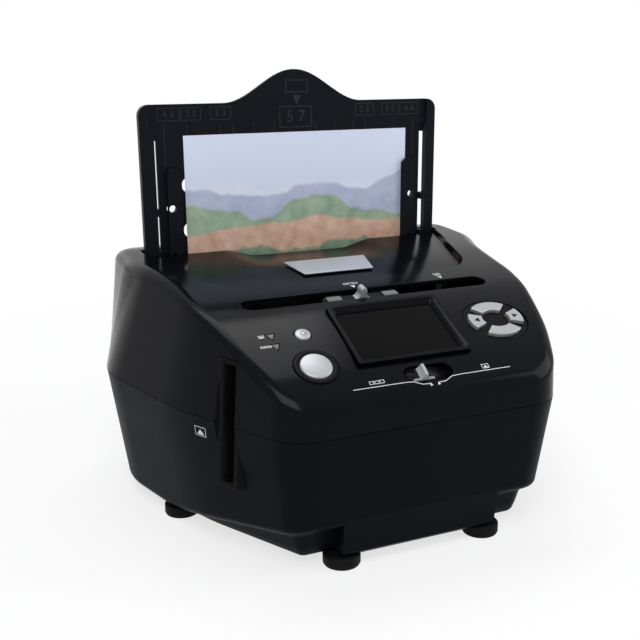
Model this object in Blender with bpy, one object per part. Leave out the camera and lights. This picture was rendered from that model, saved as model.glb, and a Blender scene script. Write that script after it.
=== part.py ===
"""Desktop scanner for photo prints and film strips, as an assembly of separate pieces.

Metres, +Z up. X runs across the machine, -Y is its front with the screen, and Z = 0 is the
plane that its feet stand on. The camera sits behind the front wall and looks to the rear:
first at the film slot, which runs through the body from side to side, and past it at a
photo print in the tray that stands in the slot on top.
"""
from math import atan, cos, pi, radians, sin, tan

import bmesh
import bpy
from mathutils import Matrix, Vector

# General fits
GAP = 0.0003            # air between two pieces that touch
OVERRUN = 0.004         # how far a cutter runs past what it cuts
FINE = 24               # sides of a round piece that shows
COARSE = 14             # sides of a hidden round piece

# Casing
TRAY_WIDTH = 0.1804
TRAY_MARGIN = 0.0313    # from the tray out to the corner points of the plan outline
BODY_DEPTH = 0.190
BODY_HEIGHT = 0.1275    # crest of the upper cover
SEAM_HEIGHT = 0.070     # where the upper cover meets the base
OUTLINE_WIDTH = TRAY_WIDTH + 2 * TRAY_MARGIN
FRONT = -BODY_DEPTH / 2
REAR = BODY_DEPTH / 2
FLOOR_HEIGHT = 0.006    # underside of the base
WALL = 0.0022
BASE_DRAFT = radians(8.0)
BASE_ROUND = 0.005
BASE_RISE = 0.173               # slope of the base's lower edge, up to the front
BASE_LEVEL_SHARE = 0.49         # share of the depth behind which that edge stays level
HULL_RUN = 0.0035               # from the rounded edge in to the level floor, at the sides
HULL_SPREAD = 0.33              # how that run grows with the edge's height
HULL_STEPS = ((0.35, 0.75), (0.7, 0.12))    # share inward, share of the height left
APRON_WIDTH = 0.082
APRON_DEPTH = 0.022
APRON_TOP = 0.030
TRAY_TO_REAR = 0.027
FILM_TO_TRAY = 0.126

# Plan outline at the seam, right half from front to rear: share of half the width, share of
# the depth
SEAM_SHARES = ((0.56, 0.0), (0.835, 0.342), (1.0, 0.711), (0.872, 1.0))
CORNER_RADIUS_SHARES = (0.09, 0.62, 0.24, 0.095)    # of the outline's width
CORNER_STEPS = (6, 4, 6, 5)
RUN_STEPS = 3

# Top of the cover seen from the side: share of the depth, share of the cover's height
TOP_SHARES = ((0.0, 0.235), (0.042, 0.336), (0.0895, 0.438), (0.184, 0.605), (0.279, 0.736),
              (0.347, 0.802), (0.474, 0.88), (0.621, 0.943), (0.858, 0.997), (0.91, 1.0),
              (1.0, 0.966))

# How far the cover's wall leans inward for its height: share of the depth, slope
COVER_LEANS = ((0.0, 0.03), (0.12, 0.06), (0.21, 0.15), (0.36, 0.27), (0.605, 0.37),
               (0.795, 0.22), (0.9, 0.12), (1.0, 0.09))

# Rounded edge round the top of the cover, a little fuller at the rear
FRONT_EDGE_INSET = 0.005
FRONT_EDGE_DROP = 0.0038
REAR_EDGE_INSET = 0.0075
REAR_EDGE_DROP = 0.006
EDGE_GROWTH_SHARES = (0.27, 0.66)   # of the depth, between which the edge grows
EDGE_STEPS = 4

# Sunken area in front of the tray: share of the way from its front edge to the tray slot,
# and its half width as a share of the tray slot's
DISH_LENGTH = 0.0735
DISH_SHARES = ((0.0, 0.60), (0.03, 0.69), (0.09, 0.75), (0.19, 0.80), (0.38, 0.84),
               (0.58, 0.885), (0.79, 0.94), (1.0, 0.985))
DISH_FRONT_DEPTH = 0.0042
DISH_REAR_DEPTH = 0.0022
DISH_SCOOP_DEPTH = 0.0042           # extra depth in the middle, at the tray slot
DISH_SCOOP_INNER = 0.026            # half width of the scoop's flat middle
DISH_SCOOP_OUTER = 0.046
DISH_SCOOP_START = 0.45             # share of the area's length where the scoop starts
DISH_COLUMNS = 16

# Photo tray
TRAY_BOTTOM = 0.072
TRAY_SHOULDER = 0.206               # its upper corners, as the tray stands at rest
TRAY_THICKNESS = 0.0048
TRAY_PANEL = 0.0024
TRAY_CORNER = 0.0065
TRAY_SIDE_RAIL = 0.009              # width of the side rails beside the guides
TRAY_UPPER_RAIL = 0.0057            # and next to the head, past the jog
TRAY_JOG = (0.187, 0.193)
TRAY_SIDE_SLOTS = {"left": 0.0012, "right": 0.0032}     # widths of the slots in the rails
TRAY_SLOT_LOW = 0.127
TRAY_TAB = (0.146, 0.150)           # web across each of them
TRAY_LEDGE = 0.087                  # top of the lower rail that a print stands on
HUMP_WIDTH = 0.084
HUMP_HEIGHT = 0.0178
HUMP_STEPS = 14
WINDOW_WIDTH = 0.1352
WINDOW_HEIGHT = 0.0088
WINDOWS = {"upper": 0.1622, "lower": 0.1372}
PRINT_WIDTH = 0.137
PRINT_X = 0.0026
PRINT_HEIGHT = 0.1016
PRINT_THICKNESS = 0.0003
GUIDE_OUTER = 0.0765                # X of the guides' outer edges, at the outermost size line
GUIDE_WIDTH = 0.0082
GUIDE_CORNER = 0.003
GUIDE_TOP = 0.172
GUIDE_THICKNESS = 0.0023
GUIDE_HOLE = 0.004
GUIDE_HOLE_X = 0.074
GUIDE_HOLES = (0.1235, 0.150)
PANEL_HOLE = 0.0052                 # holes in the tray behind them
SHOE_WIDTH = 0.021
SHOE_BOTTOM = 0.0745
TONGUE_BOTTOM = 0.0783
TONGUE_HEIGHT = 0.003
TONGUE_DEPTH = 0.0018
TRAY_TRAVEL_DOWN = 0.0615
SLOT_SIDE_ROOM = 0.0020             # tray slot past each end of the tray
SLOT_FRONT = 0.0052                 # from the tray's plane forward, past the guides
SLOT_BACK = 0.0034

# Photo tray channels and backing inside
CHANNEL_WALL = 0.0026
CHANNEL_LIP = 0.0065
CHANNEL_TOP = BODY_HEIGHT - 0.0095
BACKING_THICKNESS = 0.0012
BACKING_TOP = BODY_HEIGHT - 0.0155
LAMP_SIZE = 0.008
LAMP_TOP = BODY_HEIGHT - 0.0235
LAMP_TO_TRAY = 0.024
LAMP_X = 0.085

# Film passage
FILM_SLOT_WIDTH = 0.006
FILM_SLOT_HEIGHT = 0.056
FILM_AXIS = SEAM_HEIGHT - 0.0005    # height of the optical axis
FRAME_BORDER = 0.0025
FRAME_PROUD = 0.001
FRAME_INNER = 0.0755                # X of the frame's inner end
FRAME_ANGLE = radians(30.5)         # how far the side wall turns from the Y axis there
FRAME_X = 0.0853
CHANNEL_HALF_LENGTH = 0.0745
TROUGH_WALL = 0.0012
TROUGH_END = 0.0095                 # length of the closed tube at each end
TROUGH_LOW = FILM_AXIS - 0.0185     # top of the trough's walls between the tubes
TROUGH_LEG = 0.006
TROUGH_LEG_X = 0.054

# Screen
BEZEL_WIDTH = 0.0588
BEZEL_LENGTH = 0.0414
BEZEL_Y = FRONT + 0.035
BEZEL_PROUD = 0.0012
BEZEL_DEPTH = 0.0058
GLASS_WIDTH = 0.0505
GLASS_LENGTH = 0.0325
GLASS_SUNK = 0.0025
GLASS_THICKNESS = 0.0008
SCREEN_THICKNESS = 0.0022

# Mode slider and its slot
SLIDER_SLOT_LENGTH = 0.1346
SLIDER_SLOT_WIDTH = 0.0104
SLIDER_Y = FRONT + 0.066
SLIDER_X = -0.005
SLIDER_BASE = 0.042
SLIDER_BASE_WIDTH = 0.0060
SLIDER_BASE_BACK = 0.0004           # from the slot's front edge to the lever
SLIDER_BASE_SUNK = 0.0012
SLIDER_BASE_THICKNESS = 0.0022
SLIDER_NIB_LENGTH = 0.0062
SLIDER_NIB_SHARE = 0.8              # its width as a share of the base's
SLIDER_NIB_HEIGHT = 0.0058
SLIDER_POST = 0.0046
SLIDER_TRAVEL = 0.050
ARM_Y = FRONT + 0.058
ROD_RADIUS = 0.002
ROD_DROP = 0.0105                   # rod axis below the cover's top above it
ROD_HALF_LENGTH = 0.076
ROD_PILLAR = 0.007
ARM_WIDTH = 0.008
ARM_HUB = 0.0042
LIGHT_WIDTH = 0.050
LIGHT_HEIGHT = 0.044
LIGHT_THICKNESS = 0.0085
LIGHT_WALL = 0.0015
DIFFUSER_THICKNESS = 0.0012

# Lens switch, camera
SWITCH_X = -0.0005
SWITCH_Y = FRONT + 0.0097
SWITCH_RECESS_X = 0.0025
SWITCH_RECESS_LENGTH = 0.025
SWITCH_RECESS_WIDTH = 0.009
SWITCH_BASE = 0.018
SWITCH_BASE_WIDTH = 0.0078
SWITCH_BASE_THICKNESS = 0.002
SWITCH_SUNK = 0.0008
SWITCH_NIB = 0.0044
SWITCH_NIB_HEIGHT = 0.0038
SWITCH_NIB_SHARE = 0.8
SWITCH_HUB_SHARES = (0.6, 1.5)      # its length in bases, its width in stems
SWITCH_STEM = 0.003
SWITCH_TRAVEL = 0.006
BOARD_THICKNESS = 0.0014
SENSOR_WIDTH = 0.040
SENSOR_HEIGHT = 0.024
SENSOR_Y = FRONT + 0.0055
BRACKET_WIDTH = 0.046
BRACKET_WALL = 0.0024
BRACKET_SHELF = FILM_AXIS - 0.0195  # underside of the bracket's shelf
BRACKET_REACH = 0.0175              # from its front plate to the rear of its leg
CARRIAGE_WIDTH = 0.026
CARRIAGE_HEIGHT = 0.026
CARRIAGE_LENGTH = 0.006
CARRIAGE_Y = FRONT + 0.0132
BARREL_RADIUS = 0.0075
BARREL_LENGTH = 0.012
LENS_RADIUS = 0.0055
LENS_THICKNESS = 0.0022
RAIL_RADIUS = 0.0012
RAIL_LENGTH = 0.013
RAIL_SPREAD = 0.0105
LENS_TRAVEL = 0.0024
PEG_RADIUS = 0.001                  # peg on the lens carriage, in the switch's oblique slot
PEG_HEIGHT = 0.0022
PEG_X = 0.003
CAM_X = (-0.0058, 0.0058)
CAM_Y = (FRONT + 0.0082, FRONT + 0.0212)
CAM_THICKNESS = 0.0014
SWITCH_FLANGE_X = (-0.0165, 0.0165) # thin flange under the cover, which keeps the slot closed
SWITCH_FLANGE_WIDTH = 0.0105
SWITCH_FLANGE_THICKNESS = 0.0008

# Push buttons
BUTTON_TRAVEL = 0.0008
BUTTON_DEPTH = 0.0032               # lower end of a cap below the panel
SCAN_X = -0.0486
SCAN_Y = FRONT + 0.0202
SCAN_DIAMETER = 0.015
SCAN_PROUD = 0.0014
RING_DIAMETER = 0.0205
RING_THICKNESS = 0.0012
RING_PROUD = 0.0004
POWER_X = -0.0473
POWER_Y = FRONT + 0.0389
POWER_DIAMETER = 0.0075
POWER_PROUD = 0.0012
KEY_X = 0.0535
KEY_Y = FRONT + 0.0333
KEY_LENGTH = 0.031                  # outside of the ring of keys, across
KEY_WIDTH = 0.026
KEY_HOLE_LENGTH = 0.0135
KEY_HOLE_WIDTH = 0.0105
KEY_PROUD = 0.0011
KEY_STEPS = 7
KEY_ROOM = 3                        # degrees that a key's hole runs past each of its ends
KEYPAD_BORDER = 0.0016
KEYPAD_SUNK = 0.0006
KEYPAD_THICKNESS = 0.0014
KEYBOARD_DEPTH = 0.0050             # top of the boards under the buttons, below the panel
KEYBOARD_SPAN = (0.034, 0.0645)
KEYBOARD_LENGTH = 0.036
LEFT_BOARD_Y = FRONT + 0.029
POST_Y = 0.0155                     # their posts, to each side of a board's middle
POST_X = 0.0365
POST_ROOM = 0.0012
KEYBOARD_THICKNESS = 0.001
INDICATOR_X = -0.0623
INDICATOR_PLACES = (FRONT + 0.0396, FRONT + 0.0332)
INDICATOR_SIZE = 0.0042
INDICATOR_PROUD = 0.0002
INDICATOR_DEPTH = 0.0033

# Badge plate, bare
BADGE_TOP_WIDTH = 0.048
BADGE_FOOT_WIDTH = 0.040
BADGE_LENGTH = 0.0205
BADGE_THICKNESS = 0.0012
BADGE_Y = REAR - 0.078

# Underside
FOOT_DIAMETER = 0.018
FOOT_PLACES = {"front": (0.038, FRONT + 0.0165), "side": (0.0925, REAR - 0.092),
               "rear": (0.070, REAR - 0.0195)}
SCREW_PLACES = {"front": (0.076, FRONT + 0.069), "rear": (0.096, REAR - 0.048)}
BOSS_RADIUS = 0.005
BOSS_TOP = SEAM_HEIGHT - 0.004
SCREW_BORE = 0.0072
SCREW_SEAT = BOSS_TOP - 0.008
SCREW_HEAD = 0.0062
SCREW_HEAD_HEIGHT = 0.0022
SCREW_SHANK = 0.0028
SCREW_HOLE = 0.0036
SCREW_LENGTH = 0.016

# Boards and sockets
MAIN_BOARD = (0.130, 0.050)
MAIN_BOARD_Y = REAR - 0.063
STANDOFF_RADIUS = 0.0025
STANDOFF_HEIGHT = 0.0035
IO_BOARD = (0.104, 0.0115)
IO_BOARD_HEIGHT = 0.020
IO_BOARD_TO_WALL = 0.001
DC_SIZE = (0.009, 0.0125, 0.0085)
DC_X = -0.040
DC_HOLE = 0.0055
DC_HOLE_DEPTH = 0.008
USB_SIZE = (0.008, 0.009, 0.0042)
USB_X = -0.016
USB_SHELL = 0.0006
CARD_SIZE = (0.028, 0.014, 0.0044)
CARD_X = 0.026
CARD_MOUTH = (0.0246, 0.0026)
CARD_MOUTH_DEPTH = 0.011

HALF_WIDTH = OUTLINE_WIDTH / 2
TRAY_Y = REAR - TRAY_TO_REAR
FILM_Y = TRAY_Y - FILM_TO_TRAY
FLOOR_TOP = FLOOR_HEIGHT + WALL
COVER_HEIGHT = BODY_HEIGHT - SEAM_HEIGHT
SLOT_HALF = TRAY_WIDTH / 2 + SLOT_SIDE_ROOM


# Materials

def material(name, colour, roughness, metallic=0.0):
    made = bpy.data.materials.new(name)
    made.use_nodes = True
    shader = made.node_tree.nodes["Principled BSDF"]
    shader.inputs["Base Color"].default_value = (*colour, 1.0)
    shader.inputs["Roughness"].default_value = roughness
    shader.inputs["Metallic"].default_value = metallic
    made.diffuse_color = (*colour, 1.0)
    return made


def clear_scene():
    for thing in list(bpy.data.objects):
        bpy.data.objects.remove(thing, do_unlink=True)


def make_materials():
    table = {
        "piano_black": ((0.010, 0.010, 0.012), 0.08, 0.0),
        "satin_black": ((0.022, 0.023, 0.026), 0.42, 0.0),
        "tray_grey": ((0.045, 0.050, 0.062), 0.45, 0.0),
        "dark_plastic": ((0.018, 0.018, 0.020), 0.55, 0.0),
        "silver": ((0.62, 0.63, 0.66), 0.30, 0.6),
        "screen_glass": ((0.012, 0.013, 0.016), 0.05, 0.0),
        "print_paper": ((0.62, 0.66, 0.74), 0.25, 0.0),
        "white_plastic": ((0.80, 0.80, 0.79), 0.50, 0.0),
        "rubber": ((0.015, 0.015, 0.016), 0.80, 0.0),
        "steel": ((0.55, 0.56, 0.58), 0.30, 1.0),
        "board_green": ((0.02, 0.16, 0.07), 0.45, 0.0),
        "lens_glass": ((0.05, 0.06, 0.10), 0.03, 0.0),
        "indicator": ((0.05, 0.06, 0.05), 0.20, 0.0),
    }
    return {name: material(name, *values) for name, values in table.items()}


# Small modelling tools

def place(name, bm, look, matrix=None, smooth=False):
    """Close up a bmesh as one object, faces out, with its origin where the matrix puts it."""
    bmesh.ops.recalc_face_normals(bm, faces=bm.faces)
    mesh = bpy.data.meshes.new(name)
    bm.to_mesh(mesh)
    bm.free()
    if smooth:
        mesh.shade_smooth()
        mesh.set_sharp_from_angle(angle=radians(35))
    thing = bpy.data.objects.new(name, mesh)
    bpy.context.collection.objects.link(thing)
    thing.matrix_world = matrix or Matrix()
    if look:
        mesh.materials.append(look)
    return thing


def tool(name, bm, matrix=None):
    """A cutter or a shape to be joined on: hidden, and left out of the part."""
    thing = place("tool_" + name, bm, None, matrix)
    thing.hide_render = True
    thing.display_type = "WIRE"
    return thing


def combine(target, other, operation="DIFFERENCE"):
    change = target.modifiers.new(other.name, "BOOLEAN")
    change.operation = operation
    change.solver = "EXACT"
    change.object = other


def prism(points, low, high):
    """A polygon in X and Y, given in order, drawn out between two heights."""
    bm = bmesh.new()
    lower = [bm.verts.new((x, y, low)) for x, y in points]
    upper = [bm.verts.new((x, y, high)) for x, y in points]
    count = len(points)
    for i in range(count):
        k = (i + 1) % count
        bm.faces.new((lower[i], lower[k], upper[k], upper[i]))
    bm.faces.new(upper)
    bm.faces.new(list(reversed(lower)))
    return bm


def block(x, y, z):
    """A box between pairs of limits."""
    return prism(((x[0], y[0]), (x[1], y[0]), (x[1], y[1]), (x[0], y[1])), *z)


def box(length, width, low, high):
    """A box centred on the Z axis."""
    return block((-length / 2, length / 2), (-width / 2, width / 2), (low, high))


def disc(radius, low, high, sides=COARSE):
    turn = 2 * pi / sides
    return prism([(radius * cos(i * turn), radius * sin(i * turn)) for i in range(sides)],
                 low, high)


def stadium(length, width, steps=8):
    """Outline of a slot with round ends."""
    radius = width / 2
    reach = length / 2 - radius
    right = [(reach + radius * cos(a), radius * sin(a))
             for a in (pi * (i / steps - 0.5) for i in range(steps + 1))]
    return right + [(-x, -y) for x, y in right]


def tube(radius, bore, low, high, sides=COARSE):
    """A round tube about the Z axis."""
    bm = bmesh.new()
    turn = 2 * pi / sides
    rings = []
    for size, height in ((radius, low), (radius, high), (bore, high), (bore, low)):
        rings.append([bm.verts.new((size * cos(i * turn), size * sin(i * turn), height))
                      for i in range(sides)])
    for a, b in zip(rings, rings[1:] + rings[:1]):
        for i in range(sides):
            k = (i + 1) % sides
            bm.faces.new((a[i], a[k], b[k], b[i]))
    return bm


def along_y(x, y, z):
    """Stands a piece that was drawn up the Z axis along +Y."""
    return Matrix.Translation((x, y, z)) @ Matrix.Rotation(-pi / 2, 4, "X")


def along_x(x, y, z):
    """Stands a piece that was drawn up the Z axis along +X."""
    return Matrix.Translation((x, y, z)) @ Matrix.Rotation(pi / 2, 4, "Y")


def facing_front(x, y, z):
    """Stands a piece drawn flat with its Y axis up and its Z axis towards the front."""
    return Matrix.Translation((x, y, z)) @ Matrix.Rotation(pi / 2, 4, "X")


def at(x, y, z):
    return Matrix.Translation((x, y, z))


# The casing's surfaces

def smooth_step(value, low, high):
    share = min(max((value - low) / (high - low), 0.0), 1.0)
    return share * share * (3 - 2 * share)


def curve_through(points, y):
    """Value at a place along the depth of a smooth curve through (share, value) points."""
    share = min(max((y - FRONT) / BODY_DEPTH, 0.0), 1.0)
    last = len(points) - 1
    i = min(max(k for k in range(last) if points[k][0] <= share), last - 1)

    def slope(k):
        a, b = points[max(k - 1, 0)], points[min(k + 1, last)]
        return (b[1] - a[1]) / (b[0] - a[0])
    (x0, z0), (x1, z1) = points[i], points[i + 1]
    span = x1 - x0
    t = (share - x0) / span
    return (z0 * (2 * t**3 - 3 * t**2 + 1) + slope(i) * span * (t**3 - 2 * t**2 + t)
            + z1 * (3 * t**2 - 2 * t**3) + slope(i + 1) * span * (t**3 - t**2))


def top_height(y):
    """Height of the upper cover's top surface."""
    return SEAM_HEIGHT + COVER_HEIGHT * curve_through(TOP_SHARES, y)


def top_slope(y):
    """Angle by which the top surface rises to the rear."""
    step = BODY_DEPTH / 200
    return atan((top_height(y + step) - top_height(y - step)) / (2 * step))


def on_panel(x, y, sunk=0.0):
    """Matrix of a piece on the top surface: its Z axis is the surface's normal."""
    frame = Matrix.Translation((x, y, top_height(y))) @ Matrix.Rotation(top_slope(y), 4, "X")
    return frame @ Matrix.Translation((0, 0, -sunk))


def half_outline(shares):
    """Right half of a plan outline, front to rear, with its corners rounded."""
    corners = [Vector((sx * HALF_WIDTH, FRONT + sy * BODY_DEPTH)) for sx, sy in shares]
    ends = [Vector((-corners[0].x, corners[0].y))] + corners
    ends.append(Vector((-corners[-1].x, corners[-1].y)))
    arcs = []
    for i, corner in enumerate(corners):
        radius = CORNER_RADIUS_SHARES[i] * OUTLINE_WIDTH
        back = (ends[i] - corner).normalized()
        ahead = (ends[i + 2] - corner).normalized()
        half = back.angle(ahead) / 2
        centre = corner + (back + ahead).normalized() * radius / sin(half)
        start = corner + back * radius / tan(half) - centre
        turn = pi - 2 * half
        arcs.append([centre + start @ Matrix.Rotation(-turn * k / CORNER_STEPS[i], 2)
                     for k in range(CORNER_STEPS[i] + 1)])
    points = []
    for i, arc in enumerate(arcs):
        points += arc
        if i + 1 < len(arcs):
            following = arcs[i + 1][0]
            points += [arc[-1].lerp(following, k / RUN_STEPS) for k in range(1, RUN_STEPS)]
    return points


def full_outline(right):
    return right + [Vector((-p.x, p.y)) for p in reversed(right)]


def outline_normals(points):
    count = len(points)
    normals = []
    for i in range(count):
        run = points[(i + 1) % count] - points[i - 1]
        normals.append(Vector((run.y, -run.x)).normalized())
    return normals


def edge_size(y):
    """Inset and drop of the rounded edge round the cover's top."""
    grown = smooth_step((y - FRONT) / BODY_DEPTH, *EDGE_GROWTH_SHARES)
    inset = FRONT_EDGE_INSET + grown * (REAR_EDGE_INSET - FRONT_EDGE_INSET)
    drop = FRONT_EDGE_DROP + grown * (REAR_EDGE_DROP - FRONT_EDGE_DROP)
    return inset, drop


def cover_rings():
    """Rings of the cover's outside, from the seam up."""
    seam = full_outline(half_outline(SEAM_SHARES))
    normals = outline_normals(seam)
    rings = [[(*p, SEAM_HEIGHT) for p in seam]]
    for k in range(EDGE_STEPS + 1):
        angle = pi / 2 * k / EDGE_STEPS
        ring = []
        for p, n in zip(seam, normals):
            inset, drop = edge_size(p.y)
            rise = top_height(p.y) - drop - SEAM_HEIGHT
            lean = curve_through(COVER_LEANS, p.y)
            flat = p - n * (rise * lean + inset * (1 - cos(angle)))
            ring.append((*flat, top_height(flat.y) - drop * (1 - sin(angle))))
        rings.append(ring)
    return rings


def lower_edge(y):
    """Height of the edge between the base's wall and its underside."""
    level = FRONT + BASE_LEVEL_SHARE * BODY_DEPTH
    return FLOOR_HEIGHT + BASE_RISE * max(0.0, level - y)


def base_inset(height):
    return (SEAM_HEIGHT - height) * tan(BASE_DRAFT)


def base_rings():
    """Rings of the base's outside, from the seam down to the floor."""
    seam = full_outline(half_outline(SEAM_SHARES))
    columns = []
    for p, n in zip(seam, outline_normals(seam)):
        edge = lower_edge(p.y)
        start = edge + BASE_ROUND
        column = [(*p, SEAM_HEIGHT - GAP)]
        for k in range(EDGE_STEPS):
            angle = pi / 2 * k / (EDGE_STEPS - 1)
            inset = base_inset(start) + BASE_ROUND * (1 - cos(angle))
            column.append((*(p - n * inset), start - BASE_ROUND * sin(angle)))
        run = HULL_RUN + HULL_SPREAD * (edge - FLOOR_HEIGHT)
        for inward, left in HULL_STEPS + ((1.0, 0.0),):
            inset = base_inset(start) + BASE_ROUND + run * inward
            height = FLOOR_HEIGHT + left * (edge - FLOOR_HEIGHT)
            column.append((*(p - n * inset), height))
        columns.append(column)
    return [list(ring) for ring in zip(*columns)]


def shell(name, rings, look):
    """A casing half of even wall thickness, open at its first ring and closed at its last."""
    bm = bmesh.new()
    outer = [[bm.verts.new(p) for p in ring] for ring in rings]
    count = len(outer[0])

    def skin(rows):
        for a, b in zip(rows, rows[1:]):
            for i in range(count):
                k = (i + 1) % count
                bm.faces.new((a[i], a[k], b[k], b[i]))
        top = rows[-1]
        for i in range(count // 2 - 1):
            bm.faces.new((top[i], top[i + 1], top[count - 2 - i], top[count - 1 - i]))
    skin(outer)
    bmesh.ops.recalc_face_normals(bm, faces=bm.faces)
    centre = Vector((0, 0, sum(v.co.z for row in outer for v in row) / (count * len(outer))))
    probe = outer[1][0]
    bm.normal_update()
    sign = 1 if probe.normal.dot(probe.co - centre) > 0 else -1
    places = []
    for row in outer:
        places.append([v.co - v.normal * (sign * WALL * v.calc_shell_factor()) for v in row])
    rim = [Vector(p).to_2d() for p in rings[0]]
    for i, n in enumerate(outline_normals(rim)):
        places[0][i] = Vector((*(rim[i] - n * WALL), rings[0][i][2]))
    inner = [[bm.verts.new(p) for p in row] for row in places]
    skin(inner)
    for i in range(count):
        k = (i + 1) % count
        bm.faces.new((outer[0][i], outer[0][k], inner[0][k], inner[0][i]))
    return place(name, bm, look, smooth=True)


def dish_tool(name, grow, lid_height):
    """The sunken area in front of the tray slot, with a scoop in its middle; grown by the
    wall it is the pan that carries the area's floor."""
    bm = bmesh.new()
    front = TRAY_Y - SLOT_FRONT - DISH_LENGTH - grow
    floors, lids = [], []
    for along, half in DISH_SHARES:
        y = front + along * (DISH_LENGTH + OVERRUN / 2 + grow)
        reach = half * SLOT_HALF + grow
        scoop = smooth_step(along, DISH_SCOOP_START, 1.0) * DISH_SCOOP_DEPTH
        depth = DISH_FRONT_DEPTH + along * (DISH_REAR_DEPTH - DISH_FRONT_DEPTH)
        floor, lid = [], []
        for column in range(DISH_COLUMNS + 1):
            x = reach * (2 * column / DISH_COLUMNS - 1)
            dip = 1 - smooth_step(abs(x), DISH_SCOOP_INNER, DISH_SCOOP_OUTER)
            height = top_height(y) - depth - scoop * dip - grow
            floor.append(bm.verts.new((x, y, height)))
            lid.append(bm.verts.new((x, y, top_height(y) + lid_height)))
        floors.append(floor)
        lids.append(lid)
    for rows in (floors, lids):
        for a, b in zip(rows, rows[1:]):
            for c in range(DISH_COLUMNS):
                bm.faces.new((a[c], a[c + 1], b[c + 1], b[c]))
    for a, b in ((floors[0], lids[0]), (floors[-1], lids[-1])):
        for c in range(DISH_COLUMNS):
            bm.faces.new((a[c], a[c + 1], b[c + 1], b[c]))
    for side in (0, DISH_COLUMNS):
        for r in range(len(floors) - 1):
            bm.faces.new((floors[r][side], floors[r + 1][side], lids[r + 1][side],
                          lids[r][side]))
    return tool(name, bm)


def frame_points(side, grow=0.0):
    """Outline of a film slot frame seen from above: its outer face lies along the side wall,
    and its two flanks run along X, like the film."""
    half = FILM_SLOT_WIDTH / 2 + FRAME_BORDER + grow
    points = [(FRAME_INNER - grow, FILM_Y + half), (FRAME_INNER - grow, FILM_Y - half)]
    for y in (FILM_Y - half, FILM_Y + half):
        out = FRAME_X + (y - FILM_Y) * tan(FRAME_ANGLE) + FRAME_PROUD / cos(FRAME_ANGLE)
        points.append((out + (OVERRUN if grow else 0.0), y))
    return [(side * x, y) for x, y in points]


def frame_heights(grow=0.0):
    half = FILM_SLOT_HEIGHT / 2 + FRAME_BORDER + grow
    return FILM_AXIS - half, FILM_AXIS + half


def film_tunnel(name):
    half = HALF_WIDTH + OVERRUN
    return tool(name, block((-half, half),
                            (FILM_Y - FILM_SLOT_WIDTH / 2, FILM_Y + FILM_SLOT_WIDTH / 2),
                            (FILM_AXIS - FILM_SLOT_HEIGHT / 2, FILM_AXIS + FILM_SLOT_HEIGHT / 2)))


def frame_windows():
    """Cutters for the two film slot frames, shared by the cover and the base."""
    return [tool("frame_window_" + word, prism(frame_points(side, GAP), *frame_heights(GAP)))
            for side, word in ((-1, "left"), (1, "right"))]


def key_points(start, stop, grow=0.0):
    """Outline of one key: a sector of an oval ring between two angles in degrees."""
    outer, inner = [], []
    for k in range(KEY_STEPS):
        angle = radians(start + (stop - start) * k / (KEY_STEPS - 1))
        outer.append(((KEY_LENGTH / 2 + grow) * cos(angle), (KEY_WIDTH / 2 + grow) * sin(angle)))
        inner.append(((KEY_HOLE_LENGTH / 2 - grow) * cos(angle),
                      (KEY_HOLE_WIDTH / 2 - grow) * sin(angle)))
    return outer + list(reversed(inner))


KEYS = {"right_key": (-30, 30), "menu_key": (44, 136), "left_key": (150, 210),
        "enter_key": (224, 316)}


def oval(length, width, sides=FINE):
    turn = 2 * pi / sides
    return [(length / 2 * cos(i * turn), width / 2 * sin(i * turn)) for i in range(sides)]


def triangle(size):
    return [(-size / 2, size / 2), (0.0, -size / 2), (size / 2, size / 2)]


# Casing pieces

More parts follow.
